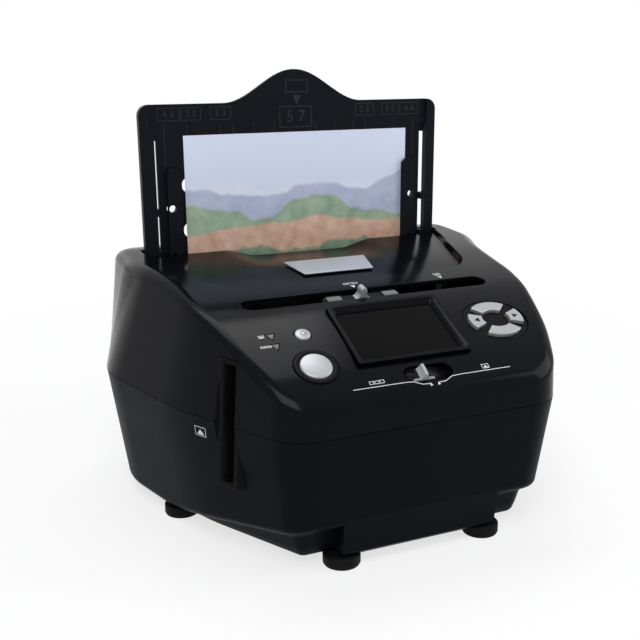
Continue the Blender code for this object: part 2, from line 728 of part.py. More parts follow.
def make_cover(looks, windows):
    cover = shell("upper_cover", cover_rings(), looks["piano_black"])
    for word, (x, y) in SCREW_PLACES.items():
        for side in (-1, 1):
            top = top_height(y) - WALL / 2
            post = tool("cover_boss_%s_%d" % (word, side),
                        disc(BOSS_RADIUS, BOSS_TOP + GAP, top), at(side * x, y, 0))
            combine(cover, post, "UNION")
            bore = tool("cover_bore_%s_%d" % (word, side),
                        disc(SCREW_HOLE / 2, 0, BOSS_TOP + SCREW_LENGTH), at(side * x, y, 0))
            combine(cover, bore)
    for word, x, y in board_posts():
        post = tool("board_post_" + word, disc(STANDOFF_RADIUS, POST_ROOM - KEYBOARD_DEPTH, -WALL / 2),
                    on_panel(x, y))
        combine(cover, post, "UNION")
    slot = block((-SLOT_HALF, SLOT_HALF), (TRAY_Y - SLOT_FRONT, TRAY_Y + SLOT_BACK),
                 (SEAM_HEIGHT, BODY_HEIGHT + OVERRUN))
    combine(cover, dish_tool("dish_pan", WALL, -WALL / 2), "UNION")
    combine(cover, dish_tool("dish", 0.0, OVERRUN))
    combine(cover, tool("tray_slot", slot))
    deep = 2 * WALL
    combine(cover, tool("slider_slot", prism(stadium(SLIDER_SLOT_LENGTH, SLIDER_SLOT_WIDTH),
                                             -deep, OVERRUN), on_panel(0, SLIDER_Y)))
    combine(cover, tool("switch_slot", prism(stadium(SWITCH_RECESS_LENGTH, SWITCH_RECESS_WIDTH),
                                             -deep, OVERRUN),
                        on_panel(SWITCH_RECESS_X, SWITCH_Y)))
    combine(cover, tool("bezel_window", box(BEZEL_WIDTH + 2 * GAP, BEZEL_LENGTH + 2 * GAP,
                                            -deep, OVERRUN), on_panel(0, BEZEL_Y)))
    combine(cover, tool("ring_seat", disc(RING_DIAMETER / 2 + GAP, RING_PROUD - RING_THICKNESS
                                          - GAP, OVERRUN, FINE), on_panel(SCAN_X, SCAN_Y)))
    combine(cover, tool("scan_hole", disc(SCAN_DIAMETER / 2 + GAP, -deep, OVERRUN, FINE),
                        on_panel(SCAN_X, SCAN_Y)))
    combine(cover, tool("power_hole", disc(POWER_DIAMETER / 2 + GAP, -deep, OVERRUN, FINE),
                        on_panel(POWER_X, POWER_Y)))
    pad = oval(KEY_LENGTH + 2 * (KEYPAD_BORDER + GAP), KEY_WIDTH + 2 * (KEYPAD_BORDER + GAP))
    combine(cover, tool("keypad_seat", prism(pad, -deep, OVERRUN), on_panel(KEY_X, KEY_Y)))
    for i, y in enumerate(INDICATOR_PLACES):
        hole = prism(triangle(INDICATOR_SIZE + 4 * GAP), -deep, OVERRUN)
        combine(cover, tool("indicator_hole_%d" % i, hole, on_panel(INDICATOR_X, y)))
    for window in windows:
        combine(cover, window)
    return cover


def board_posts():
    """Places of the posts that carry the boards under the buttons."""
    return [("%s_%s" % (word, end), side * POST_X, middle + along * POST_Y)
            for word, side, middle in (("left", -1, LEFT_BOARD_Y), ("right", 1, KEY_Y))
            for end, along in (("low", -1), ("high", 1))]


def standoff_places():
    half_x, half_y = MAIN_BOARD[0] / 2, MAIN_BOARD[1] / 2
    edge = 2 * STANDOFF_RADIUS
    main = [(sx * (half_x - edge), MAIN_BOARD_Y + sy * (half_y - edge))
            for sx in (-1, 1) for sy in (-1, 1)]
    y = io_board_y()
    return ([(x, y, FLOOR_TOP + STANDOFF_HEIGHT) for x, y in main]
            + [(side * (IO_BOARD[0] / 2 - edge), y, IO_BOARD_HEIGHT - GAP)
               for side in (-1, 1)])


def io_board_y():
    return REAR - base_inset(IO_BOARD_HEIGHT) - WALL - IO_BOARD_TO_WALL - IO_BOARD[1] / 2


def make_base(looks, windows):
    base = shell("base_shell", base_rings(), looks["satin_black"])
    bottom = FLOOR_HEIGHT + WALL / 2
    lean = FRONT + GAP / 2
    side_view = ((lean + base_inset(APRON_TOP), APRON_TOP),
                 (lean + base_inset(FLOOR_HEIGHT + WALL), FLOOR_HEIGHT + WALL),
                 (lean + base_inset(FLOOR_HEIGHT) + WALL, FLOOR_HEIGHT),
                 (FRONT + APRON_DEPTH, FLOOR_HEIGHT), (FRONT + APRON_DEPTH, FLOOR_TOP),
                 (lean + base_inset(APRON_TOP) + WALL, APRON_TOP))
    apron = prism(side_view, -APRON_WIDTH / 2, APRON_WIDTH / 2)
    upright = Matrix(((0, 0, 1, 0), (1, 0, 0, 0), (0, 1, 0, 0), (0, 0, 0, 1)))
    combine(base, tool("apron", apron, upright), "UNION")
    for word, (x, y) in SCREW_PLACES.items():
        for side in (-1, 1):
            post = tool("base_boss_%s_%d" % (word, side), disc(BOSS_RADIUS, bottom, BOSS_TOP),
                        at(side * x, y, 0))
            combine(base, post, "UNION")
            bore = tool("base_bore_%s_%d" % (word, side), disc(SCREW_BORE / 2, 0, SCREW_SEAT),
                        at(side * x, y, 0))
            combine(base, bore)
            hole = tool("base_hole_%s_%d" % (word, side),
                        disc(SCREW_HOLE / 2, 0, BOSS_TOP + OVERRUN), at(side * x, y, 0))
            combine(base, hole)
    for i, (x, y, top) in enumerate(standoff_places()):
        post = tool("standoff_%d" % i, disc(STANDOFF_RADIUS, bottom, top), at(x, y, 0))
        combine(base, post, "UNION")
    for window in windows:
        combine(base, window)
    for word, x, (wide, long, high), lift in socket_places():
        cut = block((x - wide / 2 - GAP, x + wide / 2 + GAP), (REAR - TRAY_TO_REAR / 2, REAR),
                    (lift - GAP, lift + high + GAP))
        combine(base, tool("socket_hole_" + word, cut))
    return base


def socket_places():
    lift = IO_BOARD_HEIGHT + BOARD_THICKNESS + GAP
    return (("dc_jack", DC_X, DC_SIZE, lift), ("usb_socket", USB_X, USB_SIZE, lift),
            ("card_socket", CARD_X, CARD_SIZE, lift))


def make_underside(looks):
    for word, (x, y) in FOOT_PLACES.items():
        for side, hand in ((-1, "left"), (1, "right")):
            bm = disc(FOOT_DIAMETER / 2, 0, FLOOR_HEIGHT - GAP, FINE)
            place("foot_%s_%s" % (word, hand), bm, looks["rubber"], at(side * x, y, 0),
                  smooth=True)
    for word, (x, y) in SCREW_PLACES.items():
        for side, hand in ((-1, "left"), (1, "right")):
            head_top = SCREW_SEAT - GAP
            head_low = head_top - SCREW_HEAD_HEIGHT
            screw = screw_profile(head_low, head_top)
            place("case_screw_%s_%s" % (word, hand), screw, looks["steel"],
                  at(side * x, y, 0), smooth=True)


def screw_profile(head_low, head_top):
    """A pan head with its shank standing on it, turned about the Z axis."""
    bm = bmesh.new()
    profile = ((SCREW_HEAD / 2, head_low), (SCREW_HEAD / 2, head_top),
               (SCREW_SHANK / 2, head_top), (SCREW_SHANK / 2, head_top + SCREW_LENGTH))
    turn = 2 * pi / COARSE
    rings = [[bm.verts.new((r * cos(i * turn), r * sin(i * turn), z)) for i in range(COARSE)]
             for r, z in profile]
    for a, b in zip(rings, rings[1:]):
        for i in range(COARSE):
            k = (i + 1) % COARSE
            bm.faces.new((a[i], a[k], b[k], b[i]))
    bm.faces.new(list(reversed(rings[0])))
    bm.faces.new(rings[-1])
    return bm


def make_film_frames(looks):
    tunnel = film_tunnel("frame_tunnel")
    for side, word in ((-1, "left"), (1, "right")):
        bm = prism(frame_points(side), *frame_heights())
        frame = place("film_frame_" + word, bm, looks["dark_plastic"])
        combine(frame, tunnel)


# Screen and controls

def make_screen(looks):
    seat = on_panel(0, BEZEL_Y)
    bezel = place("lcd_bezel", box(BEZEL_WIDTH, BEZEL_LENGTH, BEZEL_PROUD - BEZEL_DEPTH,
                                   BEZEL_PROUD), looks["piano_black"], seat)
    hole = box(GLASS_WIDTH + 2 * GAP, GLASS_LENGTH + 2 * GAP, -BEZEL_DEPTH - OVERRUN, OVERRUN)
    combine(bezel, tool("bezel_hole", hole, seat))
    glass_top = BEZEL_PROUD - GLASS_SUNK
    glass_low = glass_top - GLASS_THICKNESS
    place("lcd_glass", box(GLASS_WIDTH, GLASS_LENGTH, glass_low, glass_top),
          looks["screen_glass"], seat)
    place("lcd_module", box(GLASS_WIDTH, GLASS_LENGTH, glass_low - GAP - SCREEN_THICKNESS,
                            glass_low - GAP), looks["steel"], seat)


def make_buttons(looks):
    ring = tube(RING_DIAMETER / 2, SCAN_DIAMETER / 2 + GAP, RING_PROUD - RING_THICKNESS,
                RING_PROUD, FINE)
    place("scan_ring", ring, looks["dark_plastic"], on_panel(SCAN_X, SCAN_Y), smooth=True)
    place("scan_button", disc(SCAN_DIAMETER / 2, -BUTTON_DEPTH, SCAN_PROUD, FINE),
          looks["silver"], on_panel(SCAN_X, SCAN_Y), smooth=True)
    place("power_button", disc(POWER_DIAMETER / 2, -BUTTON_DEPTH, POWER_PROUD, FINE),
          looks["silver"], on_panel(POWER_X, POWER_Y), smooth=True)
    seat = on_panel(KEY_X, KEY_Y)
    pad_points = oval(KEY_LENGTH + 2 * KEYPAD_BORDER, KEY_WIDTH + 2 * KEYPAD_BORDER)
    pad = place("keypad_plate", prism(pad_points, -KEYPAD_SUNK - KEYPAD_THICKNESS,
                                      -KEYPAD_SUNK), looks["dark_plastic"], seat)
    for name, (start, stop) in KEYS.items():
        hole = prism(key_points(start - KEY_ROOM, stop + KEY_ROOM, GAP), -BUTTON_DEPTH, OVERRUN)
        combine(pad, tool("hole_" + name, hole, seat))
        place(name, prism(key_points(start, stop), -BUTTON_DEPTH, KEY_PROUD),
              looks["silver"], seat)
    for word, y in zip(("photo", "film"), INDICATOR_PLACES):
        place("indicator_" + word, prism(triangle(INDICATOR_SIZE), -INDICATOR_DEPTH,
                                         INDICATOR_PROUD),
              looks["indicator"], on_panel(INDICATOR_X, y))


def make_key_boards(looks):
    low, high = KEYBOARD_SPAN
    reach = KEYBOARD_LENGTH / 2
    left = ((-high, -low), (LEFT_BOARD_Y - reach, LEFT_BOARD_Y + reach))
    right = ((low, high), (KEY_Y - reach, KEY_Y + reach))
    for word, (xs, ys) in (("left", left), ("right", right)):
        middle = sum(ys) / 2
        half = (ys[1] - ys[0]) / 2
        bm = block(xs, (-half, half), (-KEYBOARD_DEPTH - KEYBOARD_THICKNESS, -KEYBOARD_DEPTH))
        place("key_board_" + word, bm, looks["board_green"], on_panel(0, middle))


def make_badge(looks):
    """Bare plate on the sunken area's floor, tilted like the floor beneath it."""
    front = TRAY_Y - SLOT_FRONT - DISH_LENGTH

    def floor_height(y):
        along = (y - front) / DISH_LENGTH
        return top_height(y) - DISH_FRONT_DEPTH - along * (DISH_REAR_DEPTH - DISH_FRONT_DEPTH)
    low, high = BADGE_Y - BADGE_LENGTH / 2, BADGE_Y + BADGE_LENGTH / 2
    tilt = atan((floor_height(high) - floor_height(low)) / BADGE_LENGTH)
    middle = max(floor_height(BADGE_Y), (floor_height(high) + floor_height(low)) / 2)
    points = ((-BADGE_FOOT_WIDTH / 2, -BADGE_LENGTH / 2), (BADGE_FOOT_WIDTH / 2,
              -BADGE_LENGTH / 2), (BADGE_TOP_WIDTH / 2, BADGE_LENGTH / 2),
              (-BADGE_TOP_WIDTH / 2, BADGE_LENGTH / 2))
    matrix = at(0, BADGE_Y, middle + GAP) @ Matrix.Rotation(tilt, 4, "X")
    place("badge_plate", prism(points, GAP, BADGE_THICKNESS), looks["silver"], matrix)


# Photo tray

def tray_outline():
    half = TRAY_WIDTH / 2
    points = [(-half, TRAY_BOTTOM), (half, TRAY_BOTTOM), (half, TRAY_SHOULDER - TRAY_CORNER),
              (half - TRAY_CORNER, TRAY_SHOULDER)]
    for k in range(HUMP_STEPS + 1):
        share = 1 - 2 * k / HUMP_STEPS
        rise = (1 + cos(pi * share)) / 2
        points.append((share * HUMP_WIDTH / 2, TRAY_SHOULDER + HUMP_HEIGHT * rise))
    points += [(-half + TRAY_CORNER, TRAY_SHOULDER), (-half, TRAY_SHOULDER - TRAY_CORNER)]
    return points


def make_tray(looks):
    """Drawn flat with X across, Y up and Z towards the front, from the tray's own plane."""
    upright = facing_front(0, TRAY_Y, 0)
    half = TRAY_WIDTH / 2
    deep = TRAY_THICKNESS / 2
    tray = place("photo_tray", prism(tray_outline(), -deep, deep), looks["tray_grey"], upright)
    inner = half - TRAY_SIDE_RAIL
    upper = half - TRAY_UPPER_RAIL
    above = TRAY_SHOULDER + HUMP_HEIGHT + OVERRUN
    jog_low, jog_high = TRAY_JOG
    right = [(inner, TRAY_LEDGE), (inner, jog_low), (upper, jog_high), (upper, above)]
    recess = prism(right + [(-x, y) for x, y in reversed(right)], deep - TRAY_PANEL,
                   deep + OVERRUN)
    combine(tray, tool("tray_recess", recess, upright))
    ledge = block((-inner, inner), (TRAY_BOTTOM - OVERRUN, TRAY_LEDGE + GAP),
                  (2 * GAP, deep + OVERRUN))
    combine(tray, tool("tray_ledge", ledge, upright))
    groove = block((-inner, inner), (TONGUE_BOTTOM - GAP, TONGUE_BOTTOM + TONGUE_HEIGHT + GAP),
                   (3 * GAP - TONGUE_DEPTH - GAP, deep))
    combine(tray, tool("tray_groove", groove, upright))
    tab_low, tab_high = TRAY_TAB
    for side, word in ((-1, "left"), (1, "right")):
        across = sorted((side * (inner - GAP), side * (inner + TRAY_SIDE_SLOTS[word])))
        for part, run in (("lower", (TRAY_SLOT_LOW, tab_low)), ("upper", (tab_high, jog_low))):
            cut = block(across, run, (-deep - OVERRUN, deep + OVERRUN))
            combine(tray, tool("tray_slot_%s_%s" % (part, word), cut, upright))
        for i, height in enumerate(GUIDE_HOLES):
            hole = disc(PANEL_HOLE / 2, -deep - OVERRUN, deep)
            spot = facing_front(side * GUIDE_HOLE_X, TRAY_Y, height)
            combine(tray, tool("panel_hole_%s_%d" % (word, i), hole, spot))
    for word, height in WINDOWS.items():
        cut = prism(stadium(WINDOW_WIDTH, WINDOW_HEIGHT), -deep - OVERRUN, deep)
        combine(tray, tool("tray_window_" + word, cut, facing_front(0, TRAY_Y, height)))


def make_print(looks):
    low = TRAY_LEDGE + GAP + GAP
    bm = block((-PRINT_WIDTH / 2, PRINT_WIDTH / 2), (low, low + PRINT_HEIGHT),
               (GAP, GAP + PRINT_THICKNESS))
    place("photo_print", bm, looks["print_paper"], facing_front(PRINT_X, TRAY_Y, 0))


def make_guides(looks):
    low = GAP + PRINT_THICKNESS + GAP
    high = low + GUIDE_THICKNESS
    for side, word in ((-1, "left"), (1, "right")):
        outer = GUIDE_OUTER
        inner = outer - GUIDE_WIDTH
        shoe = outer - SHOE_WIDTH
        points = ((outer, SHOE_BOTTOM), (outer, GUIDE_TOP), (inner + GUIDE_CORNER, GUIDE_TOP),
                  (inner, GUIDE_TOP - GUIDE_CORNER), (inner, TRAY_LEDGE), (shoe, TRAY_LEDGE),
                  (shoe, SHOE_BOTTOM))
        points = [(side * x, y) for x, y in points]
        upright = facing_front(0, TRAY_Y, 0)
        guide = place("print_guide_" + word, prism(points, low, high), looks["tray_grey"],
                      upright)
        tongue = block(sorted((side * (shoe + GAP), side * (outer - GAP))),
                       (TONGUE_BOTTOM, TONGUE_BOTTOM + TONGUE_HEIGHT),
                       (low - TONGUE_DEPTH, low + GAP))
        combine(guide, tool("tongue_" + word, tongue, upright), "UNION")
        for i, height in enumerate(GUIDE_HOLES):
            hole = disc(GUIDE_HOLE / 2, 0, high + OVERRUN)
            spot = facing_front(side * GUIDE_HOLE_X, TRAY_Y, height)
            combine(guide, tool("guide_hole_%s_%d" % (word, i), hole, spot))


def make_tray_channels(looks):
    deep = TRAY_THICKNESS / 2 + GAP
    edge = TRAY_WIDTH / 2 + GAP
    for side, word in ((-1, "left"), (1, "right")):
        lip = edge - CHANNEL_LIP
        back = edge + CHANNEL_WALL
        points = ((lip, -deep - CHANNEL_WALL), (back, -deep - CHANNEL_WALL),
                  (back, deep + CHANNEL_WALL), (lip, deep + CHANNEL_WALL), (lip, deep),
                  (edge, deep), (edge, -deep), (lip, -deep))
        points = [(side * x, y) for x, y in points]
        place("tray_channel_" + word, prism(points, FLOOR_TOP + GAP, CHANNEL_TOP),
              looks["dark_plastic"], at(0, TRAY_Y, 0))
    half = edge - CHANNEL_LIP - GAP
    low = deep
    backing = block((-half, half), (low, low + BACKING_THICKNESS),
                    (FLOOR_TOP + GAP, BACKING_TOP))
    place("tray_backing", backing, looks["white_plastic"], at(0, TRAY_Y, 0))
    for side, word in ((-1, "left"), (1, "right")):
        bm = disc(LAMP_SIZE / 2, FLOOR_TOP + GAP, LAMP_TOP, 6)
        place("photo_lamp_" + word, bm, looks["white_plastic"],
              at(side * LAMP_X, TRAY_Y - LAMP_TO_TRAY, 0))


# Film path, light and camera

def make_film_channel(looks):
    half = CHANNEL_HALF_LENGTH
    wide = FILM_SLOT_WIDTH / 2 + TROUGH_WALL
    high = FILM_SLOT_HEIGHT / 2 + TROUGH_WALL
    body = block((-half, half), (FILM_Y - wide, FILM_Y + wide),
                 (FILM_AXIS - high, FILM_AXIS + high))
    channel = place("film_channel", body, looks["dark_plastic"])
    for side in (-1, 1):
        leg = block(sorted((side * (TROUGH_LEG_X - TROUGH_LEG / 2),
                            side * (TROUGH_LEG_X + TROUGH_LEG / 2))),
                    (FILM_Y - wide, FILM_Y + wide),
                    (FLOOR_TOP + GAP, FILM_AXIS - high + TROUGH_WALL / 2))
        combine(channel, tool("channel_leg_%d" % side, leg), "UNION")
    combine(channel, film_tunnel("channel_tunnel"))
    open_half = half - TROUGH_END
    cut = block((-open_half, open_half), (FILM_Y - wide - OVERRUN, FILM_Y + wide + OVERRUN),
                (TROUGH_LOW, FILM_AXIS + high + OVERRUN))
    combine(channel, tool("channel_middle", cut))


def rod_height():
    return top_height(ARM_Y) - ROD_DROP


def lever_y():
    """The lever lies along the front edge of its slot."""
    return SLIDER_Y - (SLIDER_SLOT_WIDTH - SLIDER_BASE_WIDTH) / 2 + SLIDER_BASE_BACK


def make_light_slider(looks):
    rod = disc(ROD_RADIUS, -ROD_HALF_LENGTH, ROD_HALF_LENGTH)
    place("slider_rod", rod, looks["steel"], along_x(0, ARM_Y, rod_height()), smooth=True)
    for side, word in ((-1, "left"), (1, "right")):
        x = side * (ROD_HALF_LENGTH - ROD_PILLAR)
        top = rod_height() + 2 * ROD_RADIUS
        pillar = place("rod_pillar_" + word, box(ROD_PILLAR, ROD_PILLAR, FLOOR_TOP + GAP, top),
                       looks["dark_plastic"], at(x, ARM_Y, 0))
        bore = disc(ROD_RADIUS + GAP, -ROD_PILLAR, ROD_PILLAR)
        combine(pillar, tool("pillar_bore_" + word, bore, along_x(x, ARM_Y, rod_height())))
    middle = lever_y()
    lever_seat = on_panel(SLIDER_X, middle)
    base_high = -SLIDER_BASE_SUNK
    base_low = base_high - SLIDER_BASE_THICKNESS
    lever = place("mode_slider", prism(stadium(SLIDER_BASE, SLIDER_BASE_WIDTH), base_low,
                                       base_high), looks["silver"], lever_seat)
    nib = box(SLIDER_NIB_LENGTH, SLIDER_BASE_WIDTH * SLIDER_NIB_SHARE, base_low + GAP,
              base_high + SLIDER_NIB_HEIGHT)
    combine(lever, tool("slider_nib", nib, lever_seat), "UNION")
    hub_low = rod_height() - ARM_HUB
    hub_high = rod_height() + ARM_HUB
    post_rear = middle + SLIDER_POST / 2
    arm = block((-ARM_WIDTH / 2, ARM_WIDTH / 2), (ARM_Y - ARM_HUB, post_rear),
                (hub_low, hub_high))
    arm = place("slider_arm", arm, looks["dark_plastic"], at(SLIDER_X, 0, 0))
    post_front = middle - SLIDER_POST / 2
    post_top = top_height(post_front) + base_low - 2 * GAP
    post = block((-ARM_WIDTH / 2, ARM_WIDTH / 2), (post_front, post_rear), (hub_low, post_top))
    combine(arm, tool("arm_post", post, at(SLIDER_X, 0, 0)), "UNION")
    light_rear = light_front() + LIGHT_THICKNESS
    light_top = FILM_AXIS + LIGHT_HEIGHT / 2
    drop = block((-ARM_WIDTH / 2, ARM_WIDTH / 2), (light_rear + GAP, ARM_Y),
                 (light_top - LIGHT_HEIGHT / 2, rod_height() + ROD_RADIUS))
    combine(arm, tool("arm_drop", drop, at(SLIDER_X, 0, 0)), "UNION")
    bore = disc(ROD_RADIUS + GAP, -ARM_WIDTH, ARM_WIDTH)
    combine(arm, tool("arm_bore", bore, along_x(SLIDER_X, ARM_Y, rod_height())))
    half = LIGHT_WIDTH / 2
    light = place("light_panel", block((-half, half), (light_front(), light_rear),
                                       (light_top - LIGHT_HEIGHT, light_top)),
                  looks["white_plastic"], at(0, 0, 0))
    well = block((-half + LIGHT_WALL, half - LIGHT_WALL),
                 (light_front() - OVERRUN, light_rear - LIGHT_WALL),
                 (light_top - LIGHT_HEIGHT + LIGHT_WALL, light_top - LIGHT_WALL))
    combine(light, tool("light_well", well))
    inside = LIGHT_WALL + GAP
    place("light_diffuser", block((-half + inside, half - inside),
                                  (light_front() + GAP, light_front() + GAP
                                   + DIFFUSER_THICKNESS),
                                  (light_top - LIGHT_HEIGHT + inside, light_top - inside)),
          looks["white_plastic"])


def light_front():
    return FILM_Y + FILM_SLOT_WIDTH / 2 + TROUGH_WALL + 2 * GAP


def make_camera(looks):
    board_low = FILM_AXIS - SENSOR_HEIGHT / 2
    board_high = FILM_AXIS + SENSOR_HEIGHT / 2
    front = SENSOR_Y
    across = (-BRACKET_WIDTH / 2, BRACKET_WIDTH / 2)
    plate = front + BOARD_THICKNESS + GAP
    rear = plate + BRACKET_REACH
    bracket = place("camera_bracket", block(across, (plate, plate + BRACKET_WALL),
                                            (BRACKET_SHELF, board_high)),
                    looks["dark_plastic"])
    shelf = block(across, (plate, rear), (BRACKET_SHELF, BRACKET_SHELF + BRACKET_WALL))
    combine(bracket, tool("bracket_shelf", shelf), "UNION")
    leg = block(across, (rear - BRACKET_WALL, rear),
                (FLOOR_TOP + GAP, BRACKET_SHELF + BRACKET_WALL))
    combine(bracket, tool("bracket_leg", leg), "UNION")
    hole = disc(BARREL_RADIUS + 2 * GAP, -OVERRUN, OVERRUN)
    combine(bracket, tool("bracket_hole", hole,
                          along_y(0, plate + BRACKET_WALL / 2, FILM_AXIS)))
    place("sensor_board", block((-SENSOR_WIDTH / 2, SENSOR_WIDTH / 2),
                                (front, front + BOARD_THICKNESS), (board_low, board_high)),
          looks["board_green"])
    rail_start = front + BOARD_THICKNESS + GAP + BRACKET_WALL + GAP
    half_height = CARRIAGE_HEIGHT / 2
    carriage = place("lens_carriage",
                     block((-CARRIAGE_WIDTH / 2, CARRIAGE_WIDTH / 2),
                           (0, CARRIAGE_LENGTH), (-half_height, half_height)),
                     looks["dark_plastic"], at(0, CARRIAGE_Y, FILM_AXIS))
    seat = disc(BARREL_RADIUS + GAP, -OVERRUN, CARRIAGE_LENGTH + OVERRUN, FINE)
    combine(carriage, tool("carriage_seat", seat, along_y(0, CARRIAGE_Y, FILM_AXIS)))
    for side, word in ((-1, "left"), (1, "right")):
        x = side * RAIL_SPREAD
        z = FILM_AXIS - side * RAIL_SPREAD
        place("lens_rail_" + word, disc(RAIL_RADIUS, 0, RAIL_LENGTH, COARSE), looks["steel"],
              along_y(x, rail_start, z), smooth=True)
        bore = disc(RAIL_RADIUS + GAP, -OVERRUN, CARRIAGE_LENGTH + OVERRUN)
        combine(carriage, tool("carriage_bore_" + word, bore, along_y(x, CARRIAGE_Y, z)))
    peg_y = CARRIAGE_Y + CARRIAGE_LENGTH / 2
    peg = disc(PEG_RADIUS, half_height - PEG_RADIUS, half_height + PEG_HEIGHT)
    combine(carriage, tool("carriage_peg", peg, at(PEG_X, peg_y, FILM_AXIS)), "UNION")
    barrel_start = CARRIAGE_Y + CARRIAGE_LENGTH / 2 - BARREL_LENGTH / 2
    barrel = tube(BARREL_RADIUS, LENS_RADIUS + GAP, 0, BARREL_LENGTH, FINE)
    place("lens_barrel", barrel, looks["dark_plastic"], along_y(0, barrel_start, FILM_AXIS),
          smooth=True)
    lens = disc(LENS_RADIUS, BARREL_LENGTH - LENS_THICKNESS - 2 * GAP,
                BARREL_LENGTH - 2 * GAP, FINE)
    place("front_lens", lens, looks["lens_glass"], along_y(0, barrel_start, FILM_AXIS),
          smooth=True)
    seat = on_panel(SWITCH_X, SWITCH_Y)
    base_high = -SWITCH_SUNK
    base_low = base_high - SWITCH_BASE_THICKNESS
    switch = place("lens_switch", prism(stadium(SWITCH_BASE, SWITCH_BASE_WIDTH), base_low,
                                        base_high), looks["silver"], seat)
    nib = box(SWITCH_NIB, SWITCH_BASE_WIDTH * SWITCH_NIB_SHARE, base_low + GAP,
              base_high + SWITCH_NIB_HEIGHT)
    combine(switch, tool("switch_nib", nib, seat), "UNION")
    flange_high = -WALL - GAP
    flange_low = flange_high - SWITCH_FLANGE_THICKNESS
    half_flange = SWITCH_FLANGE_WIDTH / 2
    flange = block(SWITCH_FLANGE_X, (-half_flange, half_flange), (flange_low, flange_high))
    combine(switch, tool("switch_flange", flange, on_panel(0, SWITCH_Y)), "UNION")
    long, wide = SWITCH_HUB_SHARES
    hub = prism(stadium(SWITCH_BASE * long, SWITCH_STEM * wide), flange_low + GAP,
                base_low + GAP)
    combine(switch, tool("switch_hub", hub, seat), "UNION")
    cam_low = FILM_AXIS + half_height + GAP
    cam_high = cam_low + CAM_THICKNESS
    stem = block((-SWITCH_STEM / 2, SWITCH_STEM / 2), (-SWITCH_STEM / 2, SWITCH_STEM / 2),
                 (cam_low, top_height(SWITCH_Y) + flange_low))
    combine(switch, tool("switch_stem", stem, at(SWITCH_X, SWITCH_Y, 0)), "UNION")
    combine(switch, tool("switch_cam", block(CAM_X, CAM_Y, (cam_low, cam_high))), "UNION")
    groove_length = (SWITCH_TRAVEL**2 + LENS_TRAVEL**2) ** 0.5
    groove_width = 2 * (PEG_RADIUS + GAP)
    groove = prism(stadium(groove_length + groove_width, groove_width), -OVERRUN, OVERRUN)
    middle = at(PEG_X - SWITCH_TRAVEL / 2, peg_y + LENS_TRAVEL / 2, cam_low)
    turn = Matrix.Rotation(-atan(LENS_TRAVEL / SWITCH_TRAVEL), 4, "Z")
    combine(switch, tool("cam_groove", groove, middle @ turn))


# Boards and sockets

def make_boards(looks):
    low = FLOOR_TOP + STANDOFF_HEIGHT + GAP
    place("main_board", box(*MAIN_BOARD, low, low + BOARD_THICKNESS), looks["board_green"],
          at(0, MAIN_BOARD_Y, 0))
    place("io_board", box(*IO_BOARD, 0, BOARD_THICKNESS), looks["board_green"],
          at(0, io_board_y(), IO_BOARD_HEIGHT))
    mouth = REAR - base_inset(IO_BOARD_HEIGHT)
    for name, x, (wide, long, high), lift in socket_places():
        socket = place(name, block((-wide / 2, wide / 2), (-long, 0), (0, high)),
                       looks["dark_plastic"] if name == "dc_jack" else looks["steel"],
                       at(x, mouth, lift))
        if name == "dc_jack":
            hole = disc(DC_HOLE / 2, -OVERRUN, DC_HOLE_DEPTH)
            spot = at(x, mouth, lift + high / 2) @ Matrix.Rotation(pi / 2, 4, "X")
        elif name == "usb_socket":
            hole = box(wide - 2 * USB_SHELL, high - 2 * USB_SHELL, -OVERRUN, long / 2)
            spot = at(x, mouth, lift + high / 2) @ Matrix.Rotation(pi / 2, 4, "X")
        else:
            hole = box(*CARD_MOUTH, -OVERRUN, CARD_MOUTH_DEPTH)
            spot = at(x, mouth, lift + high / 2) @ Matrix.Rotation(pi / 2, 4, "X")
        combine(socket, tool("mouth_" + name, hole, spot))


def main():
    clear_scene()
    looks = make_materials()
    windows = frame_windows()
    make_base(looks, windows)
    make_cover(looks, windows)
    make_underside(looks)
    make_film_frames(looks)
    make_screen(looks)
    make_buttons(looks)
    make_key_boards(looks)
    make_badge(looks)
    make_tray(looks)
    make_print(looks)
    make_guides(looks)
    make_tray_channels(looks)
    make_film_channel(looks)
    make_light_slider(looks)
    make_camera(looks)
    make_boards(looks)


main()
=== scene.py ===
"""Looks of the desktop scanner for photo prints and film strips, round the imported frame.

Metres, +Z up, X across the machine, -Y its front. What shows from outside is built here again
with finer forms than the frame's solids have, from the same sizes; the print, the screen's glass
and what sits inside keep their solids. Every piece has a node material.
"""

from math import atan, cos, pi, radians, sin, sqrt, tan

import bmesh
import bpy
from mathutils import Matrix, Vector
from mathutils.bvhtree import BVHTree
from mathutils.interpolate import poly_3d_calc


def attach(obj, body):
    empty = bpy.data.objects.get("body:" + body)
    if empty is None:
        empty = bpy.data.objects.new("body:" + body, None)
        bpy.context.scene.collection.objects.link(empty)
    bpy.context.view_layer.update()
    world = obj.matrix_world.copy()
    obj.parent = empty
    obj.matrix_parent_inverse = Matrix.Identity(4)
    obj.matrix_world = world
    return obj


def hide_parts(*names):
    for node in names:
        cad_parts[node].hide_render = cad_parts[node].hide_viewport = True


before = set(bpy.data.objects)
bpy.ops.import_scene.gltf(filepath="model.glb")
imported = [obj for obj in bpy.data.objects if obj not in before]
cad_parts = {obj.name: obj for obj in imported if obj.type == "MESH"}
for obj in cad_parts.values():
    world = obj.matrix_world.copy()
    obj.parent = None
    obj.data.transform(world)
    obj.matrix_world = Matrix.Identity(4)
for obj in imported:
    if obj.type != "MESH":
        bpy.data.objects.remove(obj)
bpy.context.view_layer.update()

# General fits
GAP = 0.0003
OVERRUN = 0.004
NEAR = 0.00010              # how far a cut surface may lie from the skin that it came from
SAME_WAY = 0.9              # least agreement of their normals
SIDES = ((-1, "left"), (1, "right"))
SOFT_EDGE = 0.0003
ROUND_EDGE = 0.0005
EASE_SHARE = 0.3            # of a round-off, where its middle point lies
CROWN_SHARE = 0.5           # of a cap's rolled edge, the rise of its middle
